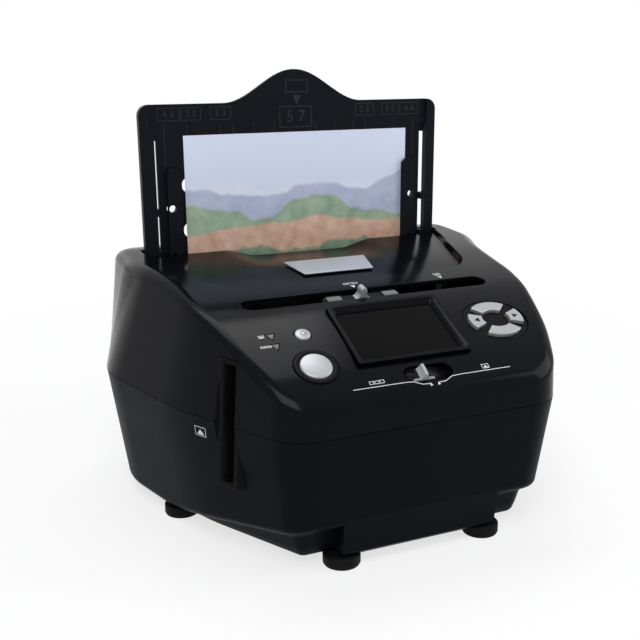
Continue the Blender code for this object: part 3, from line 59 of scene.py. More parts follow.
ARC_STEPS = 6
CIRCLE_SIDES, BORE_SIDES, FINE_BORE_SIDES, OVAL_SIDES = 64, 32, 16, 96
STADIUM_STEPS = 16

# Casing, as in the solids
OUTLINE_WIDTH = 0.243
BODY_DEPTH = 0.190
BODY_HEIGHT = 0.1275
SEAM_HEIGHT = 0.070
FLOOR_HEIGHT = 0.006
WALL = 0.0022
COVER_LEANS = ((0.0, 0.03), (0.12, 0.06), (0.21, 0.15), (0.36, 0.27), (0.605, 0.37),
               (0.795, 0.22), (0.9, 0.12), (1.0, 0.09))
WALL_STEPS = 8
BASE_DRAFT = radians(8.0)
BASE_ROUND = 0.005
BASE_RISE = 0.173
BASE_LEVEL_SHARE = 0.49
HULL_RUN = 0.0035
HULL_SPREAD = 0.33
HULL_STEPS = ((0.18, 0.93), (0.35, 0.75), (0.52, 0.40), (0.7, 0.12), (0.85, 0.03))
APRON_WIDTH = 0.082
APRON_DEPTH = 0.022
APRON_TOP = 0.030
TRAY_TO_REAR = 0.027
FILM_TO_TRAY = 0.126
SEAM_SHARES = ((0.56, 0.0), (0.835, 0.342), (1.0, 0.711), (0.872, 1.0))
CORNER_RADIUS_SHARES = (0.09, 0.62, 0.24, 0.095)
CORNER_STEPS = (24, 16, 20, 18)
RUN_STEPS = 12
TOP_SHARES = ((0.0, 0.235), (0.042, 0.336), (0.0895, 0.438), (0.184, 0.605), (0.279, 0.736),
              (0.347, 0.802), (0.474, 0.88), (0.621, 0.943), (0.858, 0.997), (0.91, 1.0),
              (1.0, 0.966))
FRONT_EDGE_INSET = 0.005
FRONT_EDGE_DROP = 0.0038
REAR_EDGE_INSET = 0.0075
REAR_EDGE_DROP = 0.006
EDGE_GROWTH_SHARES = (0.27, 0.66)
EDGE_STEPS = 12
FRONT = -BODY_DEPTH / 2
REAR = BODY_DEPTH / 2
HALF_WIDTH = OUTLINE_WIDTH / 2
TRAY_Y = REAR - TRAY_TO_REAR
FILM_Y = TRAY_Y - FILM_TO_TRAY
COVER_HEIGHT = BODY_HEIGHT - SEAM_HEIGHT

# Sunken area
DISH_LENGTH = 0.0735
DISH_SHARES = ((0.0, 0.60), (0.03, 0.69), (0.09, 0.75), (0.19, 0.80), (0.38, 0.84),
               (0.58, 0.885), (0.79, 0.94), (1.0, 0.985))
DISH_FRONT_DEPTH = 0.0042
DISH_REAR_DEPTH = 0.0022
DISH_SCOOP_DEPTH = 0.0042
DISH_SCOOP_INNER = 0.026
DISH_SCOOP_OUTER = 0.046
DISH_LIP = 0.0022               # width of the riser round it
DISH_LIFT = 0.00012             # how far its surface starts above the cover
DISH_SCOOP_START = 0.45
DISH_LIP_SLOPE = 0.25           # share of the riser that is straight
SLOPE_STEP = 0.00005
RIM_STEPS, DISH_ROWS, DISH_COLUMNS, PAN_STRIDE = 8, 46, 44, 3

# Tray
TRAY_WIDTH = 0.1804
TRAY_BOTTOM = 0.072
TRAY_SHOULDER = 0.206
TRAY_THICKNESS = 0.0048
TRAY_PANEL = 0.0024
TRAY_CORNER = 0.0065
TRAY_CORNER_SHARE = 0.9
TRAY_SIDE_RAIL = 0.009
TRAY_UPPER_RAIL = 0.0057
TRAY_JOG = (0.187, 0.193)
TRAY_SIDE_SLOTS = {-1: 0.0012, 1: 0.0032}
TRAY_SLOT_LOW = 0.127
TRAY_TAB = (0.146, 0.150)
TRAY_LEDGE = 0.087
HUMP_WIDTH = 0.084
HUMP_HEIGHT = 0.0178
HUMP_STEPS = 48
WINDOW_WIDTH = 0.1352
WINDOW_HEIGHT = 0.0088
WINDOWS = (0.1622, 0.1372)
PRINT_WIDTH = 0.137
PRINT_X = 0.0026
PRINT_HEIGHT = 0.1016
PRINT_THICKNESS = 0.0003
GUIDE_OUTER = 0.0765
GUIDE_WIDTH = 0.0082
GUIDE_CORNER = 0.003
GUIDE_TOP = 0.172
GUIDE_THICKNESS = 0.0023
GUIDE_HOLE = 0.004
GUIDE_HOLE_X = 0.074
PANEL_HOLE = 0.0052
GUIDE_HOLES = (0.1235, 0.150)
SHOE_WIDTH = 0.021
SHOE_BOTTOM = 0.0745
TONGUE_BOTTOM = 0.0783
TONGUE_HEIGHT = 0.003
TONGUE_DEPTH = 0.0018
SLOT_SIDE_ROOM = 0.0020
SLOT_FRONT = 0.0052
SLOT_BACK = 0.0034
SLOT_HALF = TRAY_WIDTH / 2 + SLOT_SIDE_ROOM
DISH_FRONT = TRAY_Y - SLOT_FRONT - DISH_LENGTH

# Film passage
FILM_SLOT_WIDTH = 0.006
FILM_SLOT_HEIGHT = 0.056
FILM_AXIS = 0.0695
FRAME_BORDER = 0.0025
FRAME_PROUD = 0.001
FRAME_INNER = 0.0755
FRAME_ANGLE = radians(30.5)
FRAME_X = 0.0853
FRAME_LEAN = 0.11

# Screen
BEZEL_WIDTH = 0.0588
BEZEL_LENGTH = 0.0414
BEZEL_Y = -0.060
BEZEL_PROUD = 0.0012
BEZEL_DEPTH = 0.0058
GLASS_WIDTH = 0.0505
GLASS_LENGTH = 0.0325
GLASS_SUNK = 0.0025
BEZEL_CORNER = 0.0012
BEZEL_HOLE_CORNER = 0.0013
GLASS_CORNER = 0.0006
BEZEL_SLOPE_SHARE = 0.75
BEZEL_SLOPE = 0.0026            # width of the bezel's sloped inner face

# Levers
SLIDER_SLOT_LENGTH = 0.1346
SLIDER_SLOT_WIDTH = 0.0104
SLIDER_Y = -0.029
SLIDER_X = -0.005
SLIDER_BASE = 0.042
SLIDER_BASE_WIDTH = 0.0060
SLIDER_BASE_BACK = 0.0004
SLIDER_BASE_SUNK = 0.0012
SLIDER_BASE_THICKNESS = 0.0022
SLIDER_NIB_HEIGHT = 0.0058
SLIDER_NIB_FOOT = 0.020
SLIDER_NIB_TOP = 0.0034
SLIDER_NIB_SHARE = 0.8          # of the base's width
SLIDER_NIB_FLARE = 3.6
SLIDER_GRIP_X = {"left": -0.0185, "right": 0.0122}
SLIDER_GRIP_SHARE = 0.7
SLIDER_GRIP_COUNT = 6
SWITCH_X = -0.0005
SWITCH_Y = -0.0853
SWITCH_RECESS_X = 0.0025
SWITCH_RECESS_LENGTH = 0.025
SWITCH_RECESS_WIDTH = 0.009
SWITCH_SUNK = 0.0008
SWITCH_NIB_HEIGHT = 0.0038
SWITCH_FLANK = (0.0007, 0.0015, 2.2)    # half its head, growth to its foot, flare
SWITCH_FLANK_REACH = 0.004
SWITCH_FLANK_LOW = 0.0003
SWITCH_FLANK_OVER = 0.0005
SWITCH_GRIP_SUNK = 0.0002
SWITCH_GRIP_X = -0.0055
SWITCH_GRIP_Y = -0.0029
SWITCH_GRIP_WIDTH = 0.0014
SWITCH_GRIP_COUNT = 12
SWITCH_GRIP_PITCH = 0.0009
RIDGE_WIDTH = 0.0005
RIDGE_PITCH = 0.0013
RIDGE_PROUD = 0.0007
LEVER_ROUND = 0.00025

# Buttons
BUTTON_DEPTH = 0.0032
SCAN_X = -0.0486
SCAN_Y = -0.0748
SCAN_DIAMETER = 0.015
SCAN_PROUD = 0.0014
RING_DIAMETER = 0.0205
RING_THICKNESS = 0.0012
RING_PROUD = 0.0004
RING_ROUND = 0.0004
SCAN_ROUND = 0.0008
POWER_ROUND = 0.0007
POWER_X = -0.0473
POWER_Y = -0.0561
POWER_DIAMETER = 0.0075
POWER_PROUD = 0.0012
KEY_X = 0.0535
KEY_Y = -0.0617
KEY_LENGTH = 0.031
KEY_WIDTH = 0.026
KEY_HOLE_LENGTH = 0.0135
KEY_HOLE_WIDTH = 0.0105
KEY_PROUD = 0.0011
KEY_STEPS = 19
KEY_TRIM = 5
KEY_SLIM = 0.0008
KEYPAD_BORDER = 0.0016
KEYPAD_SUNK = 0.0006
KEYPAD_THICKNESS = 0.0014
KEYPAD_ROUND = 0.0002
KEY_ROUND = 0.00055
KEYS = {"right_key": ("right_button", -30, 30), "menu_key": ("menu", 44, 136),
        "left_key": ("left_button", 150, 210), "enter_key": ("enter", 224, 316)}
INDICATOR_X = -0.0623
INDICATOR_PLACES = {"photo": -0.0554, "film": -0.0618}
INDICATOR_SIZE = 0.0042
INDICATOR_PROUD = 0.0002
INDICATOR_DEPTH = 0.0033

# Mouths of the cover's holes
HOLE_FLARE = 0.0006
RECESS_FLARE = 0.0005

# Badge plate
BADGE_TOP_WIDTH = 0.048
BADGE_FOOT_WIDTH = 0.040
BADGE_LENGTH = 0.0205
BADGE_THICKNESS = 0.0012
BADGE_Y = 0.017

# Underside
FOOT_DIAMETER = 0.018
FOOT_HOLLOW = 0.0004
FOOT_EDGE = 0.0005
FOOT_RISE = 0.0003
FOOT_RIM_SHARES = (0.6, 0.64)
FOOT_ROUND = 0.0012
FOOT_PLACES = {"front": (0.038, -0.0785), "side": (0.0925, 0.003), "rear": (0.070, 0.0755)}
SCREW_PLACES = {"front": (0.076, -0.026), "rear": (0.096, 0.047)}
BOSS_RADIUS = 0.005
BOSS_TOP = 0.066
SCREW_BORE = 0.0072
SCREW_SEAT = 0.058
SCREW_HOLE = 0.0036

# Sockets
BOARD_THICKNESS = 0.0014
IO_BOARD_HEIGHT = 0.020
SOCKETS = ((-0.040, 0.009, 0.0085), (-0.016, 0.008, 0.0042), (0.026, 0.028, 0.0044))

# Marks on the panel and the wall
MARK_PROUD = 0.00006
MARK_SUNK = 0.0001
MARK_LINE = 0.0003
ARROW_SUNK = 0.0002
SLOT_MARK_X = {"film": -0.005, "photo": 0.0455}
SLOT_MARK_Y = SLIDER_Y + 0.0078
SLOT_ARROW = 0.0026
SLOT_SIGN = 0.0044
SLOT_SIGN_RISE = 0.0040
INDICATOR_SIGN = 0.0030
INDICATOR_SIGN_SHIFT = (-0.0046, 0.0010)
SWITCH_MARK_Y = SWITCH_Y - 0.0054
SWITCH_MARK_X = {"film": (0.0010, -0.0368), "photo": (0.0050, 0.0447)}     # arrow, line's end
SWITCH_LINE_RISE = 0.0018
SWITCH_LINE_BENDS = ((0.0130, 0.0), (0.0080, -0.0003), (0.0040, -0.0024), (0.0, -0.0026))
SWITCH_LINE_WIDTH = 0.00036
SWITCH_ARROW = 0.0016
SWITCH_ARROW_RISE = 0.0001
SWITCH_SIGN = 0.0042
SWITCH_SIGN_SHIFT = (0.0125, 0.0026)
FILM_SIGN_SHARES = (0.62, 0.27, 0.22)       # from picture to picture, half width and height
PHOTO_SIGN_SHARES = (0.45, 0.30)            # half width and height
HILL_SHARES = (0.30, -0.20, 0.14)           # half width, foot and peak
SIDE_SIGN = 0.0080
SIDE_SIGN_PLACE = (-0.0432, 0.062)      # Y and height on the left wall
KEY_ARROW = 0.0028
POWER_SIGN_RADIUS = 0.0013
POWER_SIGN_DROP = 0.0002
POWER_SIGN_DEPTH = 0.0007
POWER_SIGN_PROUD = 0.00002
POWER_LINE = (0.0002, 0.0017)

# Marks on the tray
TRAY_MARK_HALF = 0.0001         # half their thickness
TRAY_LINE_HALF = 0.0002
TRAY_LINE_TOP = 0.195
TRAY_LINES = ((0.0762, 0.1735), (0.0635, 0.189), (0.04445, 0.189), (0.037, 0.189),
              (0.025, 0.189), (0.0127, 0.189))          # X both ways and foot
TRAY_BOXES = ((-0.0093, 0.0106, 0.1916, 0.2036, 0.0005),
              (-0.0056, 0.0082, 0.2110, 0.2180, 0.0005))
TRAY_SIZE_BOXES = ((-0.0796, -0.0673), (-0.0666, -0.0551), (-0.0499, -0.0381),
                   (0.0381, 0.0499), (0.0551, 0.0666), (0.0673, 0.0796))
TRAY_SIZE_HEIGHTS = (0.1972, 0.2042)
TRAY_SIZE_LINE = 0.0004
TRAY_SIZES = tuple((figures, 0.0052, x, 0.2007) for figures, x in (
    ("4 6", -0.0735), ("3 5", -0.0609), ("2 3", -0.0440), ("2 3", 0.0440), ("3 5", 0.0609),
    ("4 6", 0.0735)))                                   # figures, size, X and height
TRAY_FIGURES = ("5 7", 0.0092, 0.0007, 0.1976)
TRAY_ARROW = (0.0050, 0.0013, 0.2070)                   # size, X and height

# Floor, light, camera
FLOOR_SIZE = 6.0
FLOOR_COLOUR = (0.86, 0.86, 0.86, 1.0)
GLOW_NEAR = 0.72                # how much of the floor's white is its own glow, near the object
GLOW_REACH = (0.16, 0.60)
SURROUNDINGS = (0.28, 0.29, 0.31, 1.0)
LIGHT_TARGET = (0, 0, 0.10)
LIGHTS = (("key", (-0.5, -0.9, 1.3), (0.9, 0.9), 14), ("fill", (1.1, -0.5, 0.7), (0.8, 0.8), 6),
          ("top", (0.0, 0.5, 1.5), (1.2, 0.7), 10))
CAMERA_SENSOR = 36.0            # millimetres, as the lens
CAMERA_LENS = 52.92
CAMERA_CLIP = 0.01
CAMERA_PLACE = (-0.20357, -0.43998, 0.22618)
CAMERA_TURNS = ((-23.26, "Z"), (74.80, "X"), (-0.40, "Z"))

# Looks
NOISE_LOW, NOISE_HIGH = 0.3, 0.7        # where most of the noise lies
PATCH_SCALE = 30.0
ROUGH_TINT = 0.12
BRUSH_SCALE = (60.0, 2500.0, 2500.0)
BRUSH_DARK_SHARE = 0.93
BRUSH_ROUGH_TINT = 0.15
BRUSH_GRAIN = (0.12, 0.00001)           # strength and depth
BOARD_TRACKS = {"Scale": 140.0, "Mortar Size": 0.03, "Color1": (0.014, 0.12, 0.05, 1.0),
                "Color2": (0.018, 0.15, 0.06, 1.0), "Mortar": (0.05, 0.25, 0.11, 1.0)}
DARK_FRAME = (0.0026, 0.0026, 0.0030)
SILVER = (0.36, 0.37, 0.39)
SWITCH_CHANGE = (0.00025, 0.00035)      # above the lens switch's base, from dark to silver
PICTURE_SKY = ((0.5, (0.88, 0.88, 0.91)), (0.8, (0.80, 0.83, 0.90)), (1.0, (0.66, 0.72, 0.88)))
PICTURE_BANDS = (       # dark and light, then the ridge: base, swing, scale, blur and seed
    ((0.38, 0.43, 0.60), (0.50, 0.54, 0.70), (0.70, 0.45, 2.6, 0.012, 3.1)),
    ((0.22, 0.33, 0.24), (0.38, 0.50, 0.34), (0.58, 0.40, 3.4, 0.010, 7.7)),
    ((0.56, 0.32, 0.22), (0.74, 0.52, 0.40), (0.50, 0.25, 2.2, 0.012, 1.4)),
    ((0.14, 0.22, 0.15), (0.28, 0.38, 0.26), (0.36, 0.30, 4.0, 0.012, 5.2)))


# Node materials

class Look:
    """The node tree of a material or the world."""

    def __init__(self, owner):
        owner.use_nodes = True
        self.made = owner
        self.nodes = owner.node_tree.nodes
        self.links = owner.node_tree.links

    def fill(self, node, inputs):
        """Gives a node its inputs: a socket is linked, any other value is set."""
        for name, value in inputs.items():
            if isinstance(value, bpy.types.NodeSocket):
                self.links.new(value, node.inputs[name])
            else:
                node.inputs[name].default_value = value

    def add(self, kind, inputs, output, **settings):
        """The output of a new node."""
        node = self.nodes.new("ShaderNode" + kind)
        for name, value in settings.items():
            setattr(node, name, value)
        self.fill(node, inputs)
        return node.outputs[output]

    def shade(self, inputs):
        """Fills the surface shader and gives the finished material."""
        self.fill(self.nodes["Principled BSDF"], inputs)
        return self.made

    def where(self):
        return self.add("TexCoord", {}, "Object")

    def math(self, kind, *values, clamp=False):
        return self.add("Math", dict(enumerate(values)), "Value", operation=kind,
                        use_clamp=clamp)

    def noise(self, source, scale, detail=3.0, roughness=0.55):
        return self.add("TexNoise", {"Vector": source, "Scale": scale, "Detail": detail,
                                     "Roughness": roughness}, "Fac")

    def spread(self, source, low, high):
        """Turns noise about its middle into a range of values."""
        return self.add("MapRange", {"Value": source, "From Min": NOISE_LOW,
                                     "From Max": NOISE_HIGH, "To Min": low, "To Max": high},
                        "Result")

    def bump(self, height, strength, distance):
        return self.add("Bump", {"Height": height, "Strength": strength,
                                 "Distance": distance}, "Normal")

    def ramp(self, source, *stops):
        """Colours between stops, each a share and a colour."""
        node = self.nodes.new("ShaderNodeValToRGB")
        points = node.color_ramp.elements
        while len(points) < len(stops):
            points.new(0.5)
        for point, (share, colour) in zip(points, stops):
            point.position = share
            point.color = (*colour, 1.0)
        self.fill(node, {"Fac": source})
        return node.outputs["Color"]

    def mottle(self, source, dark, light):
        return self.ramp(source, (NOISE_LOW, dark), (NOISE_HIGH, light))


def material(name):
    return Look(bpy.data.materials.new(name))


def finish(name, colour, rough, tint=0.12, grain=2200, depth=0.00002, strength=0.25,
           metallic=0.0, specular=0.5, coat=0.0):
    """A moulded, painted or plated finish: colour and roughness vary over patches, and a fine
    grain stands in its surface. Its scales are per metre."""
    look = material(name)
    where = look.where()
    broad = look.noise(where, PATCH_SCALE)
    fine = look.noise(where, grain, 2.0)
    dark = [c * (1 - tint) for c in colour]
    light = [min(1.0, c * (1 + tint)) for c in colour]
    return look.shade({
        "Base Color": look.mottle(broad, dark, light),
        "Roughness": look.spread(broad, rough * (1 - ROUGH_TINT), rough * (1 + ROUGH_TINT)),
        "Normal": look.bump(fine, strength, depth), "Metallic": metallic,
        "Specular IOR Level": specular, "Coat Weight": coat})


def brushed(name, colour, rough, metallic=0.7):
    """Metal finish with a fine grain that runs along X."""
    look = material(name)
    where = look.where()
    along = look.add("Mapping", {"Vector": where, "Scale": BRUSH_SCALE}, "Vector")
    fine = look.noise(along, 1.0, 4.0)
    return look.shade({
        "Base Color": look.mottle(fine, [c * BRUSH_DARK_SHARE for c in colour], colour),
        "Roughness": look.spread(look.noise(where, 90.0), rough * (1 - BRUSH_ROUGH_TINT),
                                 rough * (1 + BRUSH_ROUGH_TINT)),
        "Normal": look.bump(fine, *BRUSH_GRAIN), "Metallic": metallic})


def board_look():
    """Green board with lighter tracks."""
    look = material("board")
    where = look.where()
    tracks = look.add("TexBrick", {"Vector": where, **BOARD_TRACKS}, "Color")
    return look.shade({"Base Color": tracks,
                       "Roughness": look.spread(look.noise(where, 60.0), 0.35, 0.55)})


def switch_look():
    """The lens switch: silver above its base, dark below."""
    look = material("lens_switch")
    where = look.where()
    slope = top_slope(SWITCH_Y)
    raised = look.add("VectorMath", {0: where, 1: (0.0, -sin(slope), cos(slope))}, "Value",
                      operation="DOT_PRODUCT")
    base = top_height(SWITCH_Y) * cos(slope) - SWITCH_Y * sin(slope) - SWITCH_SUNK
    share = look.add("MapRange", {"Value": raised, "From Min": base + SWITCH_CHANGE[0],
                                  "From Max": base + SWITCH_CHANGE[1]}, "Result")
    return look.shade({
        "Base Color": look.ramp(share, (0.0, DARK_FRAME), (1.0, SILVER)),
        "Roughness": look.spread(look.noise(where, 60.0), 0.28, 0.34),
        "Specular IOR Level": look.spread(share, 0.06, 0.4)})


def picture_look():
    """The print: a plain landscape of the builder's own, in pale lavender, greens and
    terracotta. Heights are taken from the print's foot."""
    look = material("print_picture")
    where = look.where()
    parts = look.nodes.new("ShaderNodeSeparateXYZ")
    look.fill(parts, {"Vector": where})

    def share_of(axis, start, span):
        return look.math("DIVIDE", look.math("SUBTRACT", parts.outputs[axis], start), span)
    up = share_of("Z", TRAY_LEDGE, PRINT_HEIGHT)
    across = share_of("X", PRINT_X, PRINT_WIDTH)

    def below_ridge(base, swing, scale, blur, seed):
        """1 below a rolling line, 0 above it."""
        shift = look.add("CombineXYZ", {"X": look.math("MULTIPLY", across, scale), "Y": seed},
                         "Vector")
        wave = look.math("SUBTRACT", look.noise(shift, 1.0, 4.0, 0.45), 0.5)
        line = look.math("ADD", base, look.math("MULTIPLY", wave, swing))
        return look.add("MapRange", {"Value": look.math("SUBTRACT", line, up),
                                     "From Min": -blur, "From Max": blur}, "Result",
                        interpolation_type="SMOOTHSTEP")

    clouds = look.math("MULTIPLY", look.noise(where, 22.0, 4.0), 0.5)
    colour = look.ramp(look.math("ADD", up, clouds), *PICTURE_SKY)
    grass = look.noise(where, 130.0, 5.0)
    for dark, light, ridge in PICTURE_BANDS:
        colour = look.add("Mix", {"Factor": below_ridge(*ridge), "A": colour,
                                  "B": look.mottle(grass, dark, light)}, "Result",
                          data_type="RGBA")
    return look.shade({"Base Color": colour,
                       "Roughness": look.spread(look.noise(where, 15.0), 0.22, 0.30)})


# Modelling

def smooth(mesh, sharp=35.0):
    mesh.shade_smooth()
    mesh.set_sharp_from_angle(angle=radians(sharp))


def stand(name, data):
    """A new object in the scene."""
    thing = bpy.data.objects.new(name, data)
    bpy.context.collection.objects.link(thing)
    return thing


def evaluated(thing):
    """The mesh that an object shows."""
    graph = bpy.context.evaluated_depsgraph_get()
    return bpy.data.meshes.new_from_object(thing.evaluated_get(graph))


def place(name, bm, look, matrix=None, sharp=35.0):
    bmesh.ops.recalc_face_normals(bm, faces=bm.faces)
    mesh = bpy.data.meshes.new(name)
    bm.to_mesh(mesh)
    bm.free()
    if matrix:
        mesh.transform(matrix)
    smooth(mesh, sharp)
    if look:
        mesh.materials.append(look)
    return stand(name, mesh)


def paired(shape):
    """A shape with its matrix; a shape that stands alone has none."""
    return shape if isinstance(shape, tuple) else (shape, None)


def combine(target, *cuts, add=()):
    """Adds shapes to the mesh, then cuts others out of it, and takes the tools away."""
    tools = []
    for shapes, operation in ((add, "UNION"), (cuts, "DIFFERENCE")):
        for shape in shapes:
            bm, matrix = paired(shape)
            tools.append(place("cutter", bm, None, matrix))
            change = target.modifiers.new("step", "BOOLEAN")
            change.operation = operation
            change.solver = "EXACT"
            change.object = tools[-1]
    mesh = evaluated(target)
    old = target.data
    target.modifiers.clear()
    target.data = mesh
    mesh.name = target.name
    for used in [old] + [tool.data for tool in tools]:
        bpy.data.meshes.remove(used)        # a tool's object goes with its mesh
    smooth(mesh)


def soften(thing, width, segments=3, angle=40.0):
    """Rounds the edges."""
    change = thing.modifiers.new("edges", "BEVEL")
    change.width = width
    change.segments = segments
    change.limit_method = "ANGLE"
    change.angle_limit = radians(angle)
    change.harden_normals = True
    change.miter_outer = "MITER_ARC"
    change.use_clamp_overlap = True


def piece(thing, body, *nodes):
    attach(thing, body)
    if nodes:
        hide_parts(*nodes)


def mark(name, bm, look, matrix, body="housing"):
    piece(place(name, bm, look, matrix), body)


def remake(node, body, bm, look, matrix=None, cuts=(), add=(), edges=None, sharp=35.0):
    """A finer form in the place of a solid; edges hold what soften takes."""
    thing = place(node + "_fine", bm, look, matrix, sharp)
    if cuts or add:
        combine(thing, *cuts, add=add)
    if edges:
        soften(thing, *edges)
    piece(thing, body, node)


def quads(rows, closed=True):
    """Corners of the faces between rows; a row of one corner is a pole."""
    count = max(len(row) for row in rows)
    for a, b in zip(rows, rows[1:]):
        for i in range(count if closed else count - 1):
            k = (i + 1) % count
            corners = dict.fromkeys((a[i % len(a)], a[k % len(a)], b[k % len(b)],
                                     b[i % len(b)]))
            if len(corners) > 2:
                yield list(corners)


def weave(bm, rows, closed=True):
    for corners in quads(rows, closed):
        bm.faces.new(corners)


def grid_vertices(bm, rings):
    return [[bm.verts.new(p) for p in ring] for ring in rings]


def loft(rings):
    """Skin over rings of equal count; both ends closed by a face."""
    bm = bmesh.new()
    rows = grid_vertices(bm, rings)
    weave(bm, rows)
    bm.faces.new(list(reversed(rows[0])))
    bm.faces.new(rows[-1])
    return bm


def prism(points, low, high):
    return loft([[(x, y, z) for x, y in points] for z in (low, high)])


def funnel(outline, low, flare):
    """Cutter with a flared mouth: outline(grow) gives its points."""
    near = flare * EASE_SHARE
    heights = ((0.0, low), (0.0, -flare), (near, -near), (flare, 0.0), (flare, OVERRUN))
    return loft([[(x, y, z) for x, y in outline(grow)] for grow, z in heights])


def join(*parts):
    """One mesh from separate shapes, each alone or with its matrix."""
    whole = bmesh.new()
    for bm, matrix in map(paired, parts):
        mesh = bpy.data.meshes.new("part")
        bm.to_mesh(mesh)
        bm.free()
        if matrix:
            mesh.transform(matrix)
        whole.from_mesh(mesh)
        bpy.data.meshes.remove(mesh)
    return whole


def block(x, y, z):
    return prism(((x[0], y[0]), (x[1], y[0]), (x[1], y[1]), (x[0], y[1])), *z)


def circle(radius, sides=CIRCLE_SIDES):
    step = 2 * pi / sides
    return [(radius * cos(i * step), radius * sin(i * step)) for i in range(sides)]


def disc(radius, low, high, sides=BORE_SIDES):
    return prism(circle(radius, sides), low, high)


def turned(profile):
    """Surface of revolution; a profile point at radius 0 closes an end."""
    bm = bmesh.new()
    rings = [[(x, y, z) for x, y in circle(r)] if r else [(0, 0, z)] for r, z in profile]
    weave(bm, grid_vertices(bm, rings))
    return bm


def tube(outer, inner, low, high, round_off):
    """Ring with a softened upper face."""
    near, drop = round_off * EASE_SHARE, high - round_off
    profile = [(outer, low), (outer, drop), (outer - near, high - near), (outer - round_off, high),
               (inner + round_off, high), (inner + near, high - near), (inner, drop),
               (inner, low)]
    return turned(profile + profile[:1])


def quarter(steps=ARC_STEPS):
    """Angles from 0 to a right one."""
    return [pi / 2 * k / steps for k in range(steps + 1)]


def stadium(length, width):
    radius, steps = width / 2, STADIUM_STEPS
    reach = length / 2 - radius
    right = [(reach + radius * cos(a), radius * sin(a))
             for a in (pi * (i / steps - 0.5) for i in range(steps + 1))]
    return right + [(-x, -y) for x, y in right]


def rounded(length, width, radius):
    points = []
    for sx, sy, start in ((1, 1, 0), (-1, 1, 90), (-1, -1, 180), (1, -1, 270)):
        cx, cy = sx * (length / 2 - radius), sy * (width / 2 - radius)
        for i in range(ARC_STEPS + 1):
            angle = radians(start + 90 * i / ARC_STEPS)
            points.append((cx + radius * cos(angle), cy + radius * sin(angle)))
    return points


def oval(length, width):
    return [(length * x, width * y) for x, y in circle(0.5, OVAL_SIDES)]


def triangle(size):
    return [(-size / 2, size / 2), (0.0, -size / 2), (size / 2, size / 2)]


def at(x, y, z):
    return Matrix.Translation((x, y, z))


def turn(angle, axis="X"):
    return Matrix.Rotation(angle, 4, axis)


def facing_front(x, y, z):
    return at(x, y, z) @ turn(pi / 2)


UPRIGHT = Matrix(((1, 0, 0, 0), (0, 0, 1, 0), (0, 1, 0, 0), (0, 0, 0, 1)))   # Y and Z change


# The casing's surfaces

def smooth_step(value, low, high):
    share = min(max((value - low) / (high - low), 0.0), 1.0)
    return share * share * (3 - 2 * share)


def curve_through(points, share):
    """Height of a smooth curve through (share, value) points."""
    last = len(points) - 1
    i = min(max([k for k in range(last) if points[k][0] <= share] or [0]), last - 1)

    def slope(k):
        a, b = points[max(k - 1, 0)], points[min(k + 1, last)]
        return (b[1] - a[1]) / (b[0] - a[0])
    (x0, z0), (x1, z1) = points[i], points[i + 1]
    span = x1 - x0
    t = (share - x0) / span
    return (z0 * (2 * t**3 - 3 * t**2 + 1) + slope(i) * span * (t**3 - 2 * t**2 + t)
            + z1 * (3 * t**2 - 2 * t**3) + slope(i + 1) * span * (t**3 - t**2))


def top_height(y):
    share = min(max((y - FRONT) / BODY_DEPTH, 0.0), 1.0)
    return SEAM_HEIGHT + COVER_HEIGHT * curve_through(TOP_SHARES, share)


def top_slope(y):
    step = BODY_DEPTH / 200
    return atan((top_height(y + step) - top_height(y - step)) / (2 * step))


def on_panel(x, y):
    """A place on the cover's top, its Z straight out."""
    return at(x, y, top_height(y)) @ turn(top_slope(y))


def half_outline():
    corners = [Vector((sx * HALF_WIDTH, FRONT + sy * BODY_DEPTH)) for sx, sy in SEAM_SHARES]
    ends = [Vector((-corners[0].x, corners[0].y))] + corners
    ends.append(Vector((-corners[-1].x, corners[-1].y)))
    arcs = []
    for i, corner in enumerate(corners):
        radius = CORNER_RADIUS_SHARES[i] * OUTLINE_WIDTH
        back = (ends[i] - corner).normalized()
        ahead = (ends[i + 2] - corner).normalized()
        half = back.angle(ahead) / 2
        centre = corner + (back + ahead).normalized() * radius / sin(half)
        start = corner + back * radius / tan(half) - centre
        arc_angle = pi - 2 * half
        arcs.append([centre + start @ Matrix.Rotation(-arc_angle * k / CORNER_STEPS[i], 2)
                     for k in range(CORNER_STEPS[i] + 1)])
    points = []
    for i, arc in enumerate(arcs):
        points += arc
        if i + 1 < len(arcs):
            following = arcs[i + 1][0]
            points += [arc[-1].lerp(following, k / RUN_STEPS) for k in range(1, RUN_STEPS)]
    return points


def full_outline():
    right = half_outline()
    return right + [Vector((-p.x, p.y)) for p in reversed(right)]


def outline_normals(points):
    count = len(points)
    return [Vector((run.y, -run.x)).normalized()
            for run in (points[(i + 1) % count] - points[i - 1] for i in range(count))]


def edge_size(y):
    grown = smooth_step((y - FRONT) / BODY_DEPTH, *EDGE_GROWTH_SHARES)
    return (FRONT_EDGE_INSET + grown * (REAR_EDGE_INSET - FRONT_EDGE_INSET),
            FRONT_EDGE_DROP + grown * (REAR_EDGE_DROP - FRONT_EDGE_DROP))


